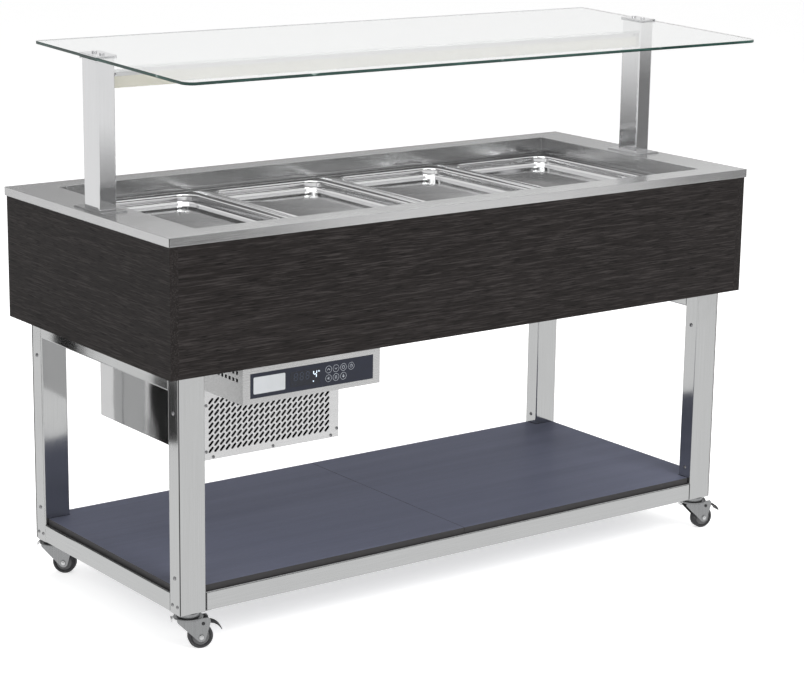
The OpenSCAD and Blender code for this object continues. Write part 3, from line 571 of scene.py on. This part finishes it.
def make_screws():
    bm = bmesh.new()
    for name in LEGS:
        lo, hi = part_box(name)
        y = (lo.y + hi.y) / 2
        out, outer, inner = (-1, lo.x, hi.x) if lo.x < 0 else (1, hi.x, lo.x)
        for z in LEG_SCREW_Z:
            add_button_head(bm, (outer, y, z), (out, 0, 0), LEG_SCREW_R, 0.3)
            add_button_head(bm, (inner, y, z), (-out, 0, 0), LEG_SCREW_R, 0.1)
        for dy in (-FOOT_SCREW_Y, FOOT_SCREW_Y):
            add_button_head(bm, (outer, y + dy, FOOT_SCREW_Z), (out, 0, 0), FOOT_SCREW_R, 0.8)
    new_piece("frame_screws", bm, "screw", "counter")

    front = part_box("front_grille")[0].y
    bm = bmesh.new()
    for x, z in GRILLE_SCREWS:
        add_button_head(bm, (x, front, z), (0, -1, 0), GRILLE_SCREW_R, x)
    new_piece("grille_screws", bm, "screw", "counter")


def make_light_screws():
    """A cup washer with a flat screw at each corner of the light bar's ends."""
    bm = bmesh.new()
    lo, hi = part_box("light_housing")
    for x in (lo.x + 0.006, hi.x - 0.006):
        for y, out in ((lo.y, -1), (hi.y, 1)):
            at = frame_at((x, y, (lo.z + hi.z) / 2), (0, out, 0))
            add_ring(bm, 0.0036, 0.0022, 0.0008, at, 20)
            add_lathe(bm, [(0.0021, 0.0001), (0.0021, 0.0004), (0, 0.0004)], at, 16)
    new_piece("light_screws", bm, "screw", "counter")


# ---------------------------------------------------------------- control panel
# The seven bars of a digit, in halves of its width and height
SEGMENTS = {
    "a": ((-0.5, 1), (0.5, 1)), "b": ((0.5, 1), (0.5, 0)), "c": ((0.5, 0), (0.5, -1)),
    "d": ((-0.5, -1), (0.5, -1)), "e": ((-0.5, 0), (-0.5, -1)), "f": ((-0.5, 1), (-0.5, 0)),
    "g": ((-0.5, 0), (0.5, 0))}
DIM_DIGITS_X, LIT_DIGIT_X, DIGIT_Z, DIGIT_H = (-0.4615, -0.4475, -0.4335), -0.4157, 0.5352, 0.0146
DIGIT_SLANT, DIGIT_GAP, DIGIT_BAR = 0.1, 0.04, 0.11
DEGREE_AT, POINT_AT = (-0.4062, 0.5403, 0), (-0.4195, 0.5211, 0)
PRINT_H, DIGIT_RISE = 0.00015, 0.0002
KEYS = ((-0.3829, 0.5398, "up"), (-0.3650, 0.5398, "down"), (-0.3469, 0.5398, "ring"),
        (-0.3278, 0.5398, "power"), (-0.3829, 0.5218, "star"), (-0.3650, 0.5218, "bars"),
        (-0.3469, 0.5218, "drop"))


def add_bar(bm, a, b, width, height, matrix):
    """A flat bar with pointed ends from a to b."""
    a, b = Vector(a), Vector(b)
    d = (b - a).normalized()
    n = Vector((-d.y, d.x)) * width / 2
    tip = d * width / 2
    pts = [a, a + tip + n, b - tip + n, b, b - tip - n, a + tip - n]
    add_prism(bm, [(p.x, p.y) for p in pts][::-1], height, matrix)


def add_digit(bm, x, bars, matrix):
    w = DIGIT_H * 0.5
    for bar in bars:
        ends = [Vector((u * w, v * DIGIT_H / 2)) for u, v in SEGMENTS[bar]]
        gap = (ends[1] - ends[0]).normalized() * DIGIT_H * DIGIT_GAP
        ends = [ends[0] + gap, ends[1] - gap]
        ends = [(x + p.x + p.y * DIGIT_SLANT, DIGIT_Z + p.y) for p in ends]
        add_bar(bm, ends[0], ends[1], DIGIT_H * DIGIT_BAR, DIGIT_RISE, matrix)


def add_mark(bm, mark, at):
    """A small generic sign on a key."""
    if mark in ("up", "down"):
        s = 1 if mark == "up" else -1
        add_bar(bm, (-0.003, -0.0015 * s), (0, 0.002 * s), 0.001, PRINT_H, at)
        add_bar(bm, (0, 0.002 * s), (0.003, -0.0015 * s), 0.001, PRINT_H, at)
    elif mark == "ring":
        add_ring(bm, 0.0034, 0.0026, PRINT_H, at, 24)
    elif mark == "power":
        add_ring(bm, 0.0034, 0.0027, PRINT_H, at, 24)
        add_bar(bm, (0, 0), (0, 0.0045), 0.0009, PRINT_H, at)
    elif mark == "star":
        for k in range(3):
            a = math.pi * k / 3
            d = Vector((math.cos(a), math.sin(a))) * 0.0036
            add_bar(bm, -d, d, 0.0007, PRINT_H, at)
    elif mark == "bars":
        for k in (-1, 0, 1):
            add_bar(bm, (-0.003, k * 0.0022), (0.003, k * 0.0022), 0.0008, PRINT_H, at)
    else:
        low = at @ Matrix.Translation((0, -0.0008, 0))
        add_lathe(bm, [(0.0024, 0), (0.0024, PRINT_H), (0, PRINT_H)], low, 20)
        add_prism(bm, [(-0.0021, 0.0002), (0.0021, 0.0002), (0, 0.0042)], PRINT_H, at)


def make_panel():
    # X runs along the panel, Y is up and Z comes out of its face
    m = Matrix.Translation((0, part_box("control_panel")[0].y, 0)) @ Matrix.Rotation(math.pi / 2, 4, "X")

    def printed(name, bm, look):
        new_piece(name, bm, look, "counter")

    bm = bmesh.new()
    for x in DIM_DIGITS_X:
        add_digit(bm, x, "abcdefg", m)
    # The dim digits are off; their faint glow is painted.
    printed("display_dim_digits", bm, glow("digit_dim_painted_glow", (0.035, 0.045, 0.07), 0.1))

    bm = bmesh.new()
    add_digit(bm, LIT_DIGIT_X, "bcfg", m)
    add_ring(bm, 0.0017, 0.0010, DIGIT_RISE, m @ Matrix.Translation(DEGREE_AT), 16)
    point = m @ Matrix.Translation(POINT_AT)
    add_lathe(bm, [(0.0012, 0), (0.0012, DIGIT_RISE), (0, DIGIT_RISE)], point, 12)
    printed("display_lit_digit", bm, glow("digit_lit", (0.75, 0.88, 1.0), 1.2))

    bm = bmesh.new()
    add_prism(bm, rounded(-0.4395, 0.531, 0.071, 0.031, 0.003), 0.00012, m)
    printed("display_window", bm,
            plastic("window_gloss", (0.008, 0.010, 0.018), 0.1, 2400, 0.02, 0.1, 0.35, 0.2))

    bm = bmesh.new()
    add_prism(bm, rounded(-0.5235, 0.531, 0.074, 0.034, 0.0025), 0.0004, m)
    printed("blank_label", bm, plastic("label_white", (0.62, 0.64, 0.66), 0.35, 2000, 0.05, 0.04))

    bm = bmesh.new()
    for x, z, mark in KEYS:
        at = m @ Matrix.Translation((x, z, 0))
        add_ring(bm, 0.0075, 0.0069, PRINT_H, at)
        add_mark(bm, mark, at)
    printed("touch_keys", bm, plastic("panel_print", (0.5, 0.53, 0.58), 0.4, 2000, 0.05, 0.06))


# ---------------------------------------------------------------- pressed pans
PAN_W, PAN_L, PAN_PITCH, PAN_Z = 0.325, 0.530, 0.3285, 0.8062
PAN_RIM, PAN_CORNER, PAN_DEPTH, PAN_SHEET = 0.024, 0.034, 0.020, 0.0012
# The radius between floor and wall, and the wall's distance in from the rim's outside
PAN_FILLET, PAN_WALL = 0.008, 0.0252
# The crowned floor, as (distance in from the rim's outside, rise)
PAN_CROWN = ((0.062, 0.0012), (0.085, 0.0019), (0.115, 0.0026), (0.140, 0.0029), (0.157, 0.0030))
# The beaded rim and the roll into the wall, as (distance in, height)
PAN_BEAD = ((0.0, -0.0002), (0.0004, 0.0004), (0.0012, 0.0008), (0.0024, 0.0008), (0.0034, 0.0003),
            (0.0046, 0.0), (0.0195, 0.0), (0.0216, -0.0002), (0.0230, -0.0010), (0.0238, -0.0024),
            (0.0242, -0.0050))


def pan_ring(inset, z):
    """The pan's outline at a distance in from its rim: tight on the rim, wide inside it."""
    r = 0.006 + inset if inset < 0.01 else max(PAN_CORNER + PAN_RIM - inset, 0.003)
    return [Vector((x, y, z)) for x, y in rounded(0, 0, PAN_W - 2 * inset, PAN_L - 2 * inset, r, 8)]


def pan_profile():
    """(distance in, height) from the middle of the underside round the rim to the middle of the floor."""
    arcs = [math.radians(15 * k) for k in range(7)]
    outer = PAN_FILLET + PAN_SHEET
    under = [(inset, rise - PAN_DEPTH - PAN_SHEET) for inset, rise in reversed(PAN_CROWN)]
    under += [(0.048, -PAN_DEPTH - PAN_SHEET + 0.0006), (0.043, -PAN_DEPTH - PAN_SHEET)]
    under += [(PAN_WALL + PAN_FILLET - outer * math.cos(a), -PAN_DEPTH + PAN_FILLET - outer * math.sin(a))
              for a in reversed(arcs)]
    under += [(PAN_RIM - PAN_SHEET, -0.004), (PAN_RIM - 0.003, -PAN_SHEET - 0.0004),
              (0.018, -PAN_SHEET), (0.0, -PAN_SHEET)]
    top = list(PAN_BEAD)
    top += [(PAN_WALL + PAN_FILLET * (1 - math.cos(a)), -PAN_DEPTH + PAN_FILLET * (1 - math.sin(a)))
            for a in arcs]
    top += [(0.0425, -PAN_DEPTH), (0.0440, -PAN_DEPTH + 0.0001), (0.0462, -PAN_DEPTH + 0.0006),
            (0.0480, -PAN_DEPTH + 0.0007)]
    top += [(inset, rise - PAN_DEPTH) for inset, rise in PAN_CROWN]
    return under + top


def make_pans():
    for k in range(4):
        bm = bmesh.new()
        loft(bm, [pan_ring(inset, z) for inset, z in pan_profile()])
        bmesh.ops.translate(bm, verts=bm.verts, vec=((k - 1.5) * PAN_PITCH, SHIFT_Y, PAN_Z))
        name = "pan_%d" % (k + 1)
        pan = new_piece("pressed_" + name, bm, "pan", name, 50)
        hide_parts(name)


# ---------------------------------------------------------------- glass
GLASS_W, GLASS_D, GLASS_T, GLASS_FORWARD, GLASS_Z, GLASS_TILT = 1.46, 0.59, 0.006, 0.072, 1.144, 2
GLASS_R_BACK, GLASS_R_FRONT = 0.010, 0.022
# The width of the edge that shows green, its ground chamfer and the chamfer's height
GLASS_BAND, GLASS_GROUND, GLASS_CHAMFER = 0.0007, 0.0005, 0.0007


def glass_ring(inset, z):
    m = Matrix.Translation((0, SHIFT_Y, GLASS_Z)) @ Matrix.Rotation(math.radians(GLASS_TILT), 4, "X")
    outline = rounded(0, -GLASS_FORWARD, GLASS_W - 2 * inset, GLASS_D - 2 * inset,
                      (GLASS_R_BACK - inset, GLASS_R_FRONT - inset), 8)
    return [m @ Vector((x, y, z)) for x, y in outline]


def make_glass():
    bm = bmesh.new()
    loft(bm, [glass_ring(GLASS_BAND, 0.0), glass_ring(GLASS_BAND, GLASS_T)])
    slab = new_piece("glass_sheet", bm, "glass", "counter")
    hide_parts("canopy_glass")
    bm = bmesh.new()
    edge = ((GLASS_BAND, 0.0), (GLASS_GROUND, 0.0), (0.0, GLASS_CHAMFER), (0.0, GLASS_T - GLASS_CHAMFER),
            (GLASS_GROUND, GLASS_T), (GLASS_BAND, GLASS_T))
    loft(bm, [glass_ring(inset, z) for inset, z in edge], True)
    rim = new_piece("glass_edges", bm, "glass_edge", "counter")
    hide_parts("canopy_glass")


# ---------------------------------------------------------------- joint lines and painted corner shade
LINE_H, LINE_W = 0.0002, 0.0022


def make_seams_and_corner_shade():
    """Dark joint lines where the side frames meet the long rails and at the worktop's corners, and
    painted shade lines along each leg's outer corner.
    """
    bm = bmesh.new()

    def line(x0, x1, y0, y1, z0, z1):
        add_box(bm, (min(x0, x1), min(y0, y1), z0), (max(x0, x1), max(y0, y1), z1))

    for name in LEGS:
        lo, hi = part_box(name)
        y, sy = (lo.y, -1) if "front" in name else (hi.y, 1)
        outer, inner, sx = (lo.x, hi.x, -1) if lo.x < 0 else (hi.x, lo.x, 1)
        # painted shade round the leg's corner, a little on each face, along its whole height; then a
        # joint line on the rail beside the leg
        line(outer + sx * LINE_H, outer - sx * 0.0015, y + sy * LINE_H, y, lo.z + 0.001, hi.z - 0.001)
        line(outer, outer + sx * LINE_H, y, y - sy * 0.0012, lo.z + 0.001, hi.z - 0.001)
        line(inner, inner - sx * LINE_W, y, y + sy * LINE_H, lo.z + 0.002, lo.z + 0.038)
    lo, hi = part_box("worktop")
    for x, sx in ((lo.x, 1), (hi.x, -1)):
        for y, sy in ((lo.y, -1), (hi.y, 1)):
            line(x + sx * 0.0004, x + sx * 0.0018, y, y - sy * 0.0001, hi.z - 0.0175, hi.z - 0.0008)
    look = plastic("joint_and_corner_shade_dark", (0.02, 0.02, 0.021), 0.6, 900)
    new_piece("frame_joint_and_corner_shade_lines", bm, look, "counter")


# ---------------------------------------------------------------- castors
# The angle each castor is turned to, in degrees
CASTORS = {"front_left": -20, "front_right": -10, "back_left": -45, "back_right": -20}
TRAIL, WHEEL_R, CROWN_Z, UNDER_Z = 0.024, 0.025, 0.0685, 0.0645
FORK_IN, FORK_OUT = 0.011, 0.0135
# Profiles of turned parts, as (radius, height)
CROWN = ((0.0055, UNDER_Z), (0.0262, UNDER_Z), (0.0288, UNDER_Z + 0.0005), (0.0300, UNDER_Z + 0.0016),
         (0.0300, CROWN_Z - 0.0010), (0.0292, CROWN_Z), (0.0240, CROWN_Z), (0.0230, CROWN_Z - 0.0008),
         (0.0055, CROWN_Z - 0.0008), (0.0055, UNDER_Z))
AXLE_BOSS = ((0.0075, 0), (0.0066, 0.0005), (0.0056, 0.0005), (0.0054, 0))
AXLE_END = ((0.0030, 0), (0.0030, 0.0006), (0.0022, 0.0012), (0, 0.0012))
HUB_CAP = ((0.0045, 0.0092), (0.0045, 0.0103), (0.0088, 0.0103), (0.0098, 0.0097), (0.0150, 0.0078),
           (0.0158, 0.0082), (0.0172, 0.0080), (0.0178, 0.0062), (0.0098, 0.0088), (0.0045, 0.0092))
AXLE_R, NUT_R, NUT_H, NUT_TURN = 0.0040, 0.0052, 0.0024, 0.4
# The bent tab behind the crown, as (x, z), and its half width
TAB = ((-0.0240, 0.0680), (-0.0335, 0.0680), (-0.0350, 0.0664), (-0.0350, 0.0600), (-0.0334, 0.0600),
       (-0.0334, 0.0654), (-0.0326, 0.0664), (-0.0240, 0.0664))
TAB_HALF = 0.007
PEDAL_X, PEDAL_Z = 0.028, 0.0535
# The pedal's middle line from its pin to the claw, as (x, z, half width)
PEDAL_PATH = ((-0.0045, 0.0004, 0.0075), (0.004, 0.0012, 0.0090), (0.014, 0.0010, 0.0092),
              (0.023, -0.0012, 0.0098), (0.030, -0.0052, 0.0110), (0.0352, -0.0105, 0.0118),
              (0.0378, -0.0155, 0.0112))
# Its section, in shares of the half width and the thickness
PEDAL_SECTION = ((1, -0.45), (1, 0.45), (0.9, 1), (-0.9, 1), (-1, 0.45), (-1, -0.45), (-0.9, -1),
                 (0.9, -1))
RIB_HALF = (0.0012, 0.0085, 0.0016)


def soften(bm, width, segments=2):
    edges = [e for e in bm.edges if len(e.link_faces) == 2 and e.calc_face_angle() > 0.6]
    bmesh.ops.bevel(bm, geom=edges, offset=width, segments=segments, profile=0.5, affect="EDGES",
                    clamp_overlap=True)


def add_side_plate(bm, outline, low, high, m):
    """A plate whose outline (x, z) stands upright, between two distances along Y."""
    stand = Matrix.Translation((0, high, 0)) @ Matrix.Rotation(math.pi / 2, 4, "X")
    add_prism(bm, outline, high - low, m @ stand)


def fork_outline():
    """A fork's cheek: an arc round the axle, then up to the crown."""
    arc = [math.radians(a) for a in list(range(-16, -136, -12)) + [-135]]
    pts = [(TRAIL + 0.010 * math.cos(a), WHEEL_R + 0.010 * math.sin(a)) for a in arc]
    top = UNDER_Z + 0.0004
    return pts + [(-0.0235, 0.0585), (-0.0245, 0.0620), (-0.0230, top), (0.0395, top),
                  (0.0425, 0.0610), (0.0430, 0.0560)]


def make_castors():
    for name, angle in CASTORS.items():
        lo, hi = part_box("wheel_" + name)
        c = (lo + hi) / 2
        a = math.radians(angle)
        pin = Matrix.Translation((c.x - TRAIL * math.cos(a), c.y - TRAIL * math.sin(a), 0))
        m = pin @ Matrix.Rotation(a, 4, "Z")
        axle = Vector((-math.sin(a), math.cos(a), 0))
        body = "castor_" + name

        bm = bmesh.new()
        for low, high in ((FORK_IN, FORK_OUT), (-FORK_OUT, -FORK_IN)):
            add_side_plate(bm, fork_outline(), low, high, m)
        soften(bm, 0.0006)
        add_lathe(bm, CROWN, m, 48)
        for s in (-1, 1):
            add_lathe(bm, AXLE_BOSS, frame_at(c + axle * s * FORK_OUT, axle * s, NUT_TURN), 28)
        fork = new_piece("fork_stamping_" + name, bm, "zinc", body)
        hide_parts("fork_" + name)

        bm = bmesh.new()
        nut = [(NUT_R * math.cos(math.pi * k / 3), NUT_R * math.sin(math.pi * k / 3)) for k in range(6)]
        for s in (-1, 1):
            at = frame_at(c + axle * s * (FORK_OUT - 0.0002), axle * s, NUT_TURN)
            add_prism(bm, nut, NUT_H, at)
        soften(bm, 0.0003, 1)
        for s in (-1, 1):
            add_lathe(bm, AXLE_END, frame_at(c + axle * s * (FORK_OUT + 0.0022), axle * s), 16)
        add_lathe(bm, [(AXLE_R, -FORK_OUT), (AXLE_R, FORK_OUT)], frame_at(c, axle), 16)
        add_side_plate(bm, TAB, -TAB_HALF, TAB_HALF, m)
        new_piece("axle_and_tab_" + name, bm, "bright", body)

        bm = bmesh.new()
        for s in (-1, 1):
            add_lathe(bm, HUB_CAP, frame_at(c, axle * s), 40)
        look = plastic("hub_grey_" + name, (0.16, 0.16, 0.165), 0.45)
        new_piece("wheel_hub_" + name, bm, look, "castor_wheel_" + name)

        if "brake_" + name in nodes:
            make_pedal(name, m)


def make_pedal(name, m):
    """A curved brake pedal: a tapered tongue that bends down to a claw, on a pin through the fork."""
    rings = []
    for k, (x, z, half) in enumerate(PEDAL_PATH):
        x0, z0 = PEDAL_PATH[max(k - 1, 0)][:2]
        x1, z1 = PEDAL_PATH[min(k + 1, len(PEDAL_PATH) - 1)][:2]
        run = Vector((x1 - x0, z1 - z0)).normalized()
        up = Vector((-run.y, run.x))
        thick = 0.0022 - 0.0002 * k
        rings.append([m @ Vector((PEDAL_X + x + up.x * v * thick, u * half,
                                  PEDAL_Z + z + up.y * v * thick)) for u, v in PEDAL_SECTION])
    bm = bmesh.new()
    loft(bm, rings)
    across = m @ Matrix.Translation((PEDAL_X, 0, PEDAL_Z)) @ Matrix.Rotation(math.pi / 2, 4, "X")
    end = FORK_OUT + 0.0004
    add_lathe(bm, [(0, -end - 0.0014), (0.0030, -end - 0.0012), (0.0036, -end), (0.0025, -end),
                   (0.0025, end), (0.0036, end), (0.0030, end + 0.0012), (0, end + 0.0014)], across, 20)
    for v in (-0.5, 0, 0.5):
        # grip ribs near the claw
        x, z = 0.0225 + 0.006 * v, -0.0010 - 0.0028 * (v + 0.5)
        add_rib(bm, m, PEDAL_X + x, PEDAL_Z + z + RIB_HALF[2])
    pedal = new_piece("pedal_" + name, bm, "pedal", "castor_brake_" + name)
    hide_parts("brake_" + name)


def add_rib(bm, m, x, z):
    half_x, half_y, half_z = RIB_HALF
    around = ((-1, -1), (1, -1), (1, 1), (-1, 1))
    loft(bm, [[m @ Vector((x + sx * half_x, sy * half_y, z + dz)) for sx, sy in around]
              for dz in (-half_z, half_z)])


# ---------------------------------------------------------------- stage
FLOOR_SIZE, FLOOR_CELLS, FLOOR_TONE = 30, 8, (0.86, 0.86, 0.86)
# How much light lifts the floor towards white for the camera, and how white mirrors see it
FLOOR_LIFT, FLOOR_IN_MIRRORS = 0.62, 0.95
# The even light of the world, and what mirrors see of it by height: white round the horizon, a
# grey wall above it and a bright ceiling
WORLD_LIGHT = 0.42
WORLD_IN_MIRRORS = ((0.0, 1.0), (0.12, 1.0), (0.16, 0.42), (0.23, 0.16), (0.36, 0.06), (0.55, 0.12),
                    (0.66, 0.9))
# Lamps: place, size along X and Y, power in watts, and whether mirrors show them
LAMP_AIM = Vector((0, 0, 0.6))
LAMPS = {"key": ((0.6, -4.6, 4.0), (3.0, 3.0), 150, False),
         "fill": ((-4.0, -1.6, 3.0), (3.0, 3.0), 45, False),
         "rim": ((2.8, 2.8, 4.2), (2.5, 2.5), 60, False),
         "top": ((0, 0.3, 4.6), (2.5, 1.8), 60, True)}
# Dark cards that only mirrors see, for the posts, the unit's side and the legs: place, the point
# they face, width, height, shade, and the height over which they thin out at the top
DARK_CARDS = {"card_post_left": ((0.74, -2.66, 0.25), (-0.7, 0, 0), 0.7, 0.62, 0.04, 0.3),
              "card_post_right": ((2.71, -2.26, 0.4), (0.7, 0, 0), 0.6, 1.1, 0.3, 0.3),
              "card_post_side": ((-1.32, 2.23, 0.3), (0.7, 0, 0), 0.5, 0.9, 0.08, 0.4),
              "card_unit": ((-0.935, 0.567, 0.26), (-0.585, -0.038, 0), 0.072, 0.5, 0.02, 0.04),
              "card_leg": ((-1.05, 0.307, 0.42), (-0.712, 0, 0), 0.09, 0.36, 0.03, 0.25),
              "card_right": ((3.4, 0.6, 0.8), (0.7, 0, 0), 1.2, 2.2, 0.1, 0.4),
              "card_back": ((-0.6, 3.8, 0.9), (0, 0, 0), 1.0, 2.2, 0.1, 0.4)}
# The white card behind the canopy, which the glass reflects and the worktop does not
WHITE_CARD_X, WHITE_CARD_Y, WHITE_CARD_Z, WHITE_CARD_LEVEL = (-0.7, 2.6), 1.0, (1.19, 1.9), 0.88


def floor_look():
    """A pale floor: its shading carries the shadow, a little light lifts it towards white, and
    mirrors see it white."""
    t = material("floor_white")
    soft = t.noise(t.map(), 2)
    shade = t.mix(t.span(soft, 0, 1), scaled(FLOOR_TONE, 0.99), FLOOR_TONE)
    ray = t.node("ShaderNodeLightPath")
    seen = t.math("MAXIMUM", ray.outputs["Is Camera Ray"], ray.outputs["Is Transmission Ray"])
    lit = t.shader(shade, 0.9, Specular_IOR_Level=0.05, Emission_Color=WHITE,
                   Emission_Strength=t.math("MULTIPLY", seen, FLOOR_LIFT))
    white = t.node("ShaderNodeEmission", Color=WHITE, Strength=FLOOR_IN_MIRRORS)
    return t.done(t.blend(ray.outputs["Is Glossy Ray"], lit, white.outputs[0]))


def make_stage():
    bm = bmesh.new()
    bmesh.ops.create_grid(bm, x_segments=FLOOR_CELLS, y_segments=FLOOR_CELLS, size=FLOOR_SIZE)
    floor = link(bpy.data.objects.new("floor", mesh_from("floor", bm, floor_look())))

    world = bpy.data.worlds.new("studio")
    bpy.context.scene.world = world
    t = Tree(world, "ShaderNodeOutputWorld", "Generated")
    rise = t.ramp(t.upright(t.where), [(at, (value,) * 3) for at, value in WORLD_IN_MIRRORS])
    ray = t.node("ShaderNodeLightPath")
    shown = t.math("MAXIMUM", ray.outputs["Is Camera Ray"], ray.outputs["Is Transmission Ray"])
    light = t.node("ShaderNodeBackground", Color=WHITE, Strength=WORLD_LIGHT)
    mirrored = t.node("ShaderNodeBackground", Color=rise, Strength=1.0)
    plain = t.node("ShaderNodeBackground", Color=WHITE, Strength=1.0)
    lit = t.blend(ray.outputs["Is Glossy Ray"], light.outputs[0], mirrored.outputs[0])
    t.done(t.blend(shown, lit, plain.outputs[0]))


def make_lamps():
    for name, (at, size, power, in_mirrors) in LAMPS.items():
        data = bpy.data.lights.new(name, "AREA")
        data.shape = "RECTANGLE"
        data.size, data.size_y = size
        data.energy = power
        lamp = link(bpy.data.objects.new(name, data))
        lamp.location = at
        lamp.rotation_mode = "QUATERNION"
        lamp.rotation_quaternion = (LAMP_AIM - Vector(at)).to_track_quat("-Z", "Y")
        lamp.visible_glossy = in_mirrors


def add_card(name, points, look):
    """A card that only mirrors see."""
    bm = bmesh.new()
    bm.faces.new([bm.verts.new(p) for p in points])
    card = link(bpy.data.objects.new(name, mesh_from(name, bm, look)))
    card.visible_camera = False
    card.visible_diffuse = False
    card.visible_shadow = False
    card.visible_transmission = False


def dark_cloth(name, shade, fade_from, top):
    """Dark cloth that thins out between two heights."""
    t = material(name)
    weave = t.mix(t.noise(t.map(), 300, 2), (shade * 0.9,) * 3, (shade,) * 3)
    cloth = t.shader(weave, 0.95, Specular_IOR_Level=0.0)
    thin = t.span(t.upright(t.where), 0, 1, fade_from, top)
    return t.done(t.blend(thin, cloth, t.node("ShaderNodeBsdfTransparent").outputs[0]))


def make_cards():
    low, high = WHITE_CARD_Z
    left, right = WHITE_CARD_X
    around = ((left, low), (right, low), (right, high), (left, high))
    t = material("card_glass_paper")
    paper = t.done(t.node("ShaderNodeEmission", Color=WHITE, Strength=WHITE_CARD_LEVEL).outputs[0])
    add_card("card_glass", [(x, WHITE_CARD_Y, z) for x, z in around], paper)
    for name, (at, aim, width, height, shade, fade) in DARK_CARDS.items():
        look = Vector(aim) - Vector(at)
        look.z = 0
        side = Vector((0, 0, 1)).cross(look.normalized())
        points = [Vector(at) + side * sx * width / 2 + Vector((0, 0, sz * height / 2))
                  for sx, sz in ((-1, -1), (1, -1), (1, 1), (-1, 1))]
        top = at[2] + height / 2
        add_card(name, points, dark_cloth(name + "_cloth", shade, top - fade, top))


bpy.context.scene.view_settings.view_transform = "Standard"
make_camera()
make_stage()
make_cards()
make_lamps()
dress_nodes()
make_screws()
make_panel()
make_pans()
make_glass()
make_light_screws()
make_seams_and_corner_shade()
make_castors()
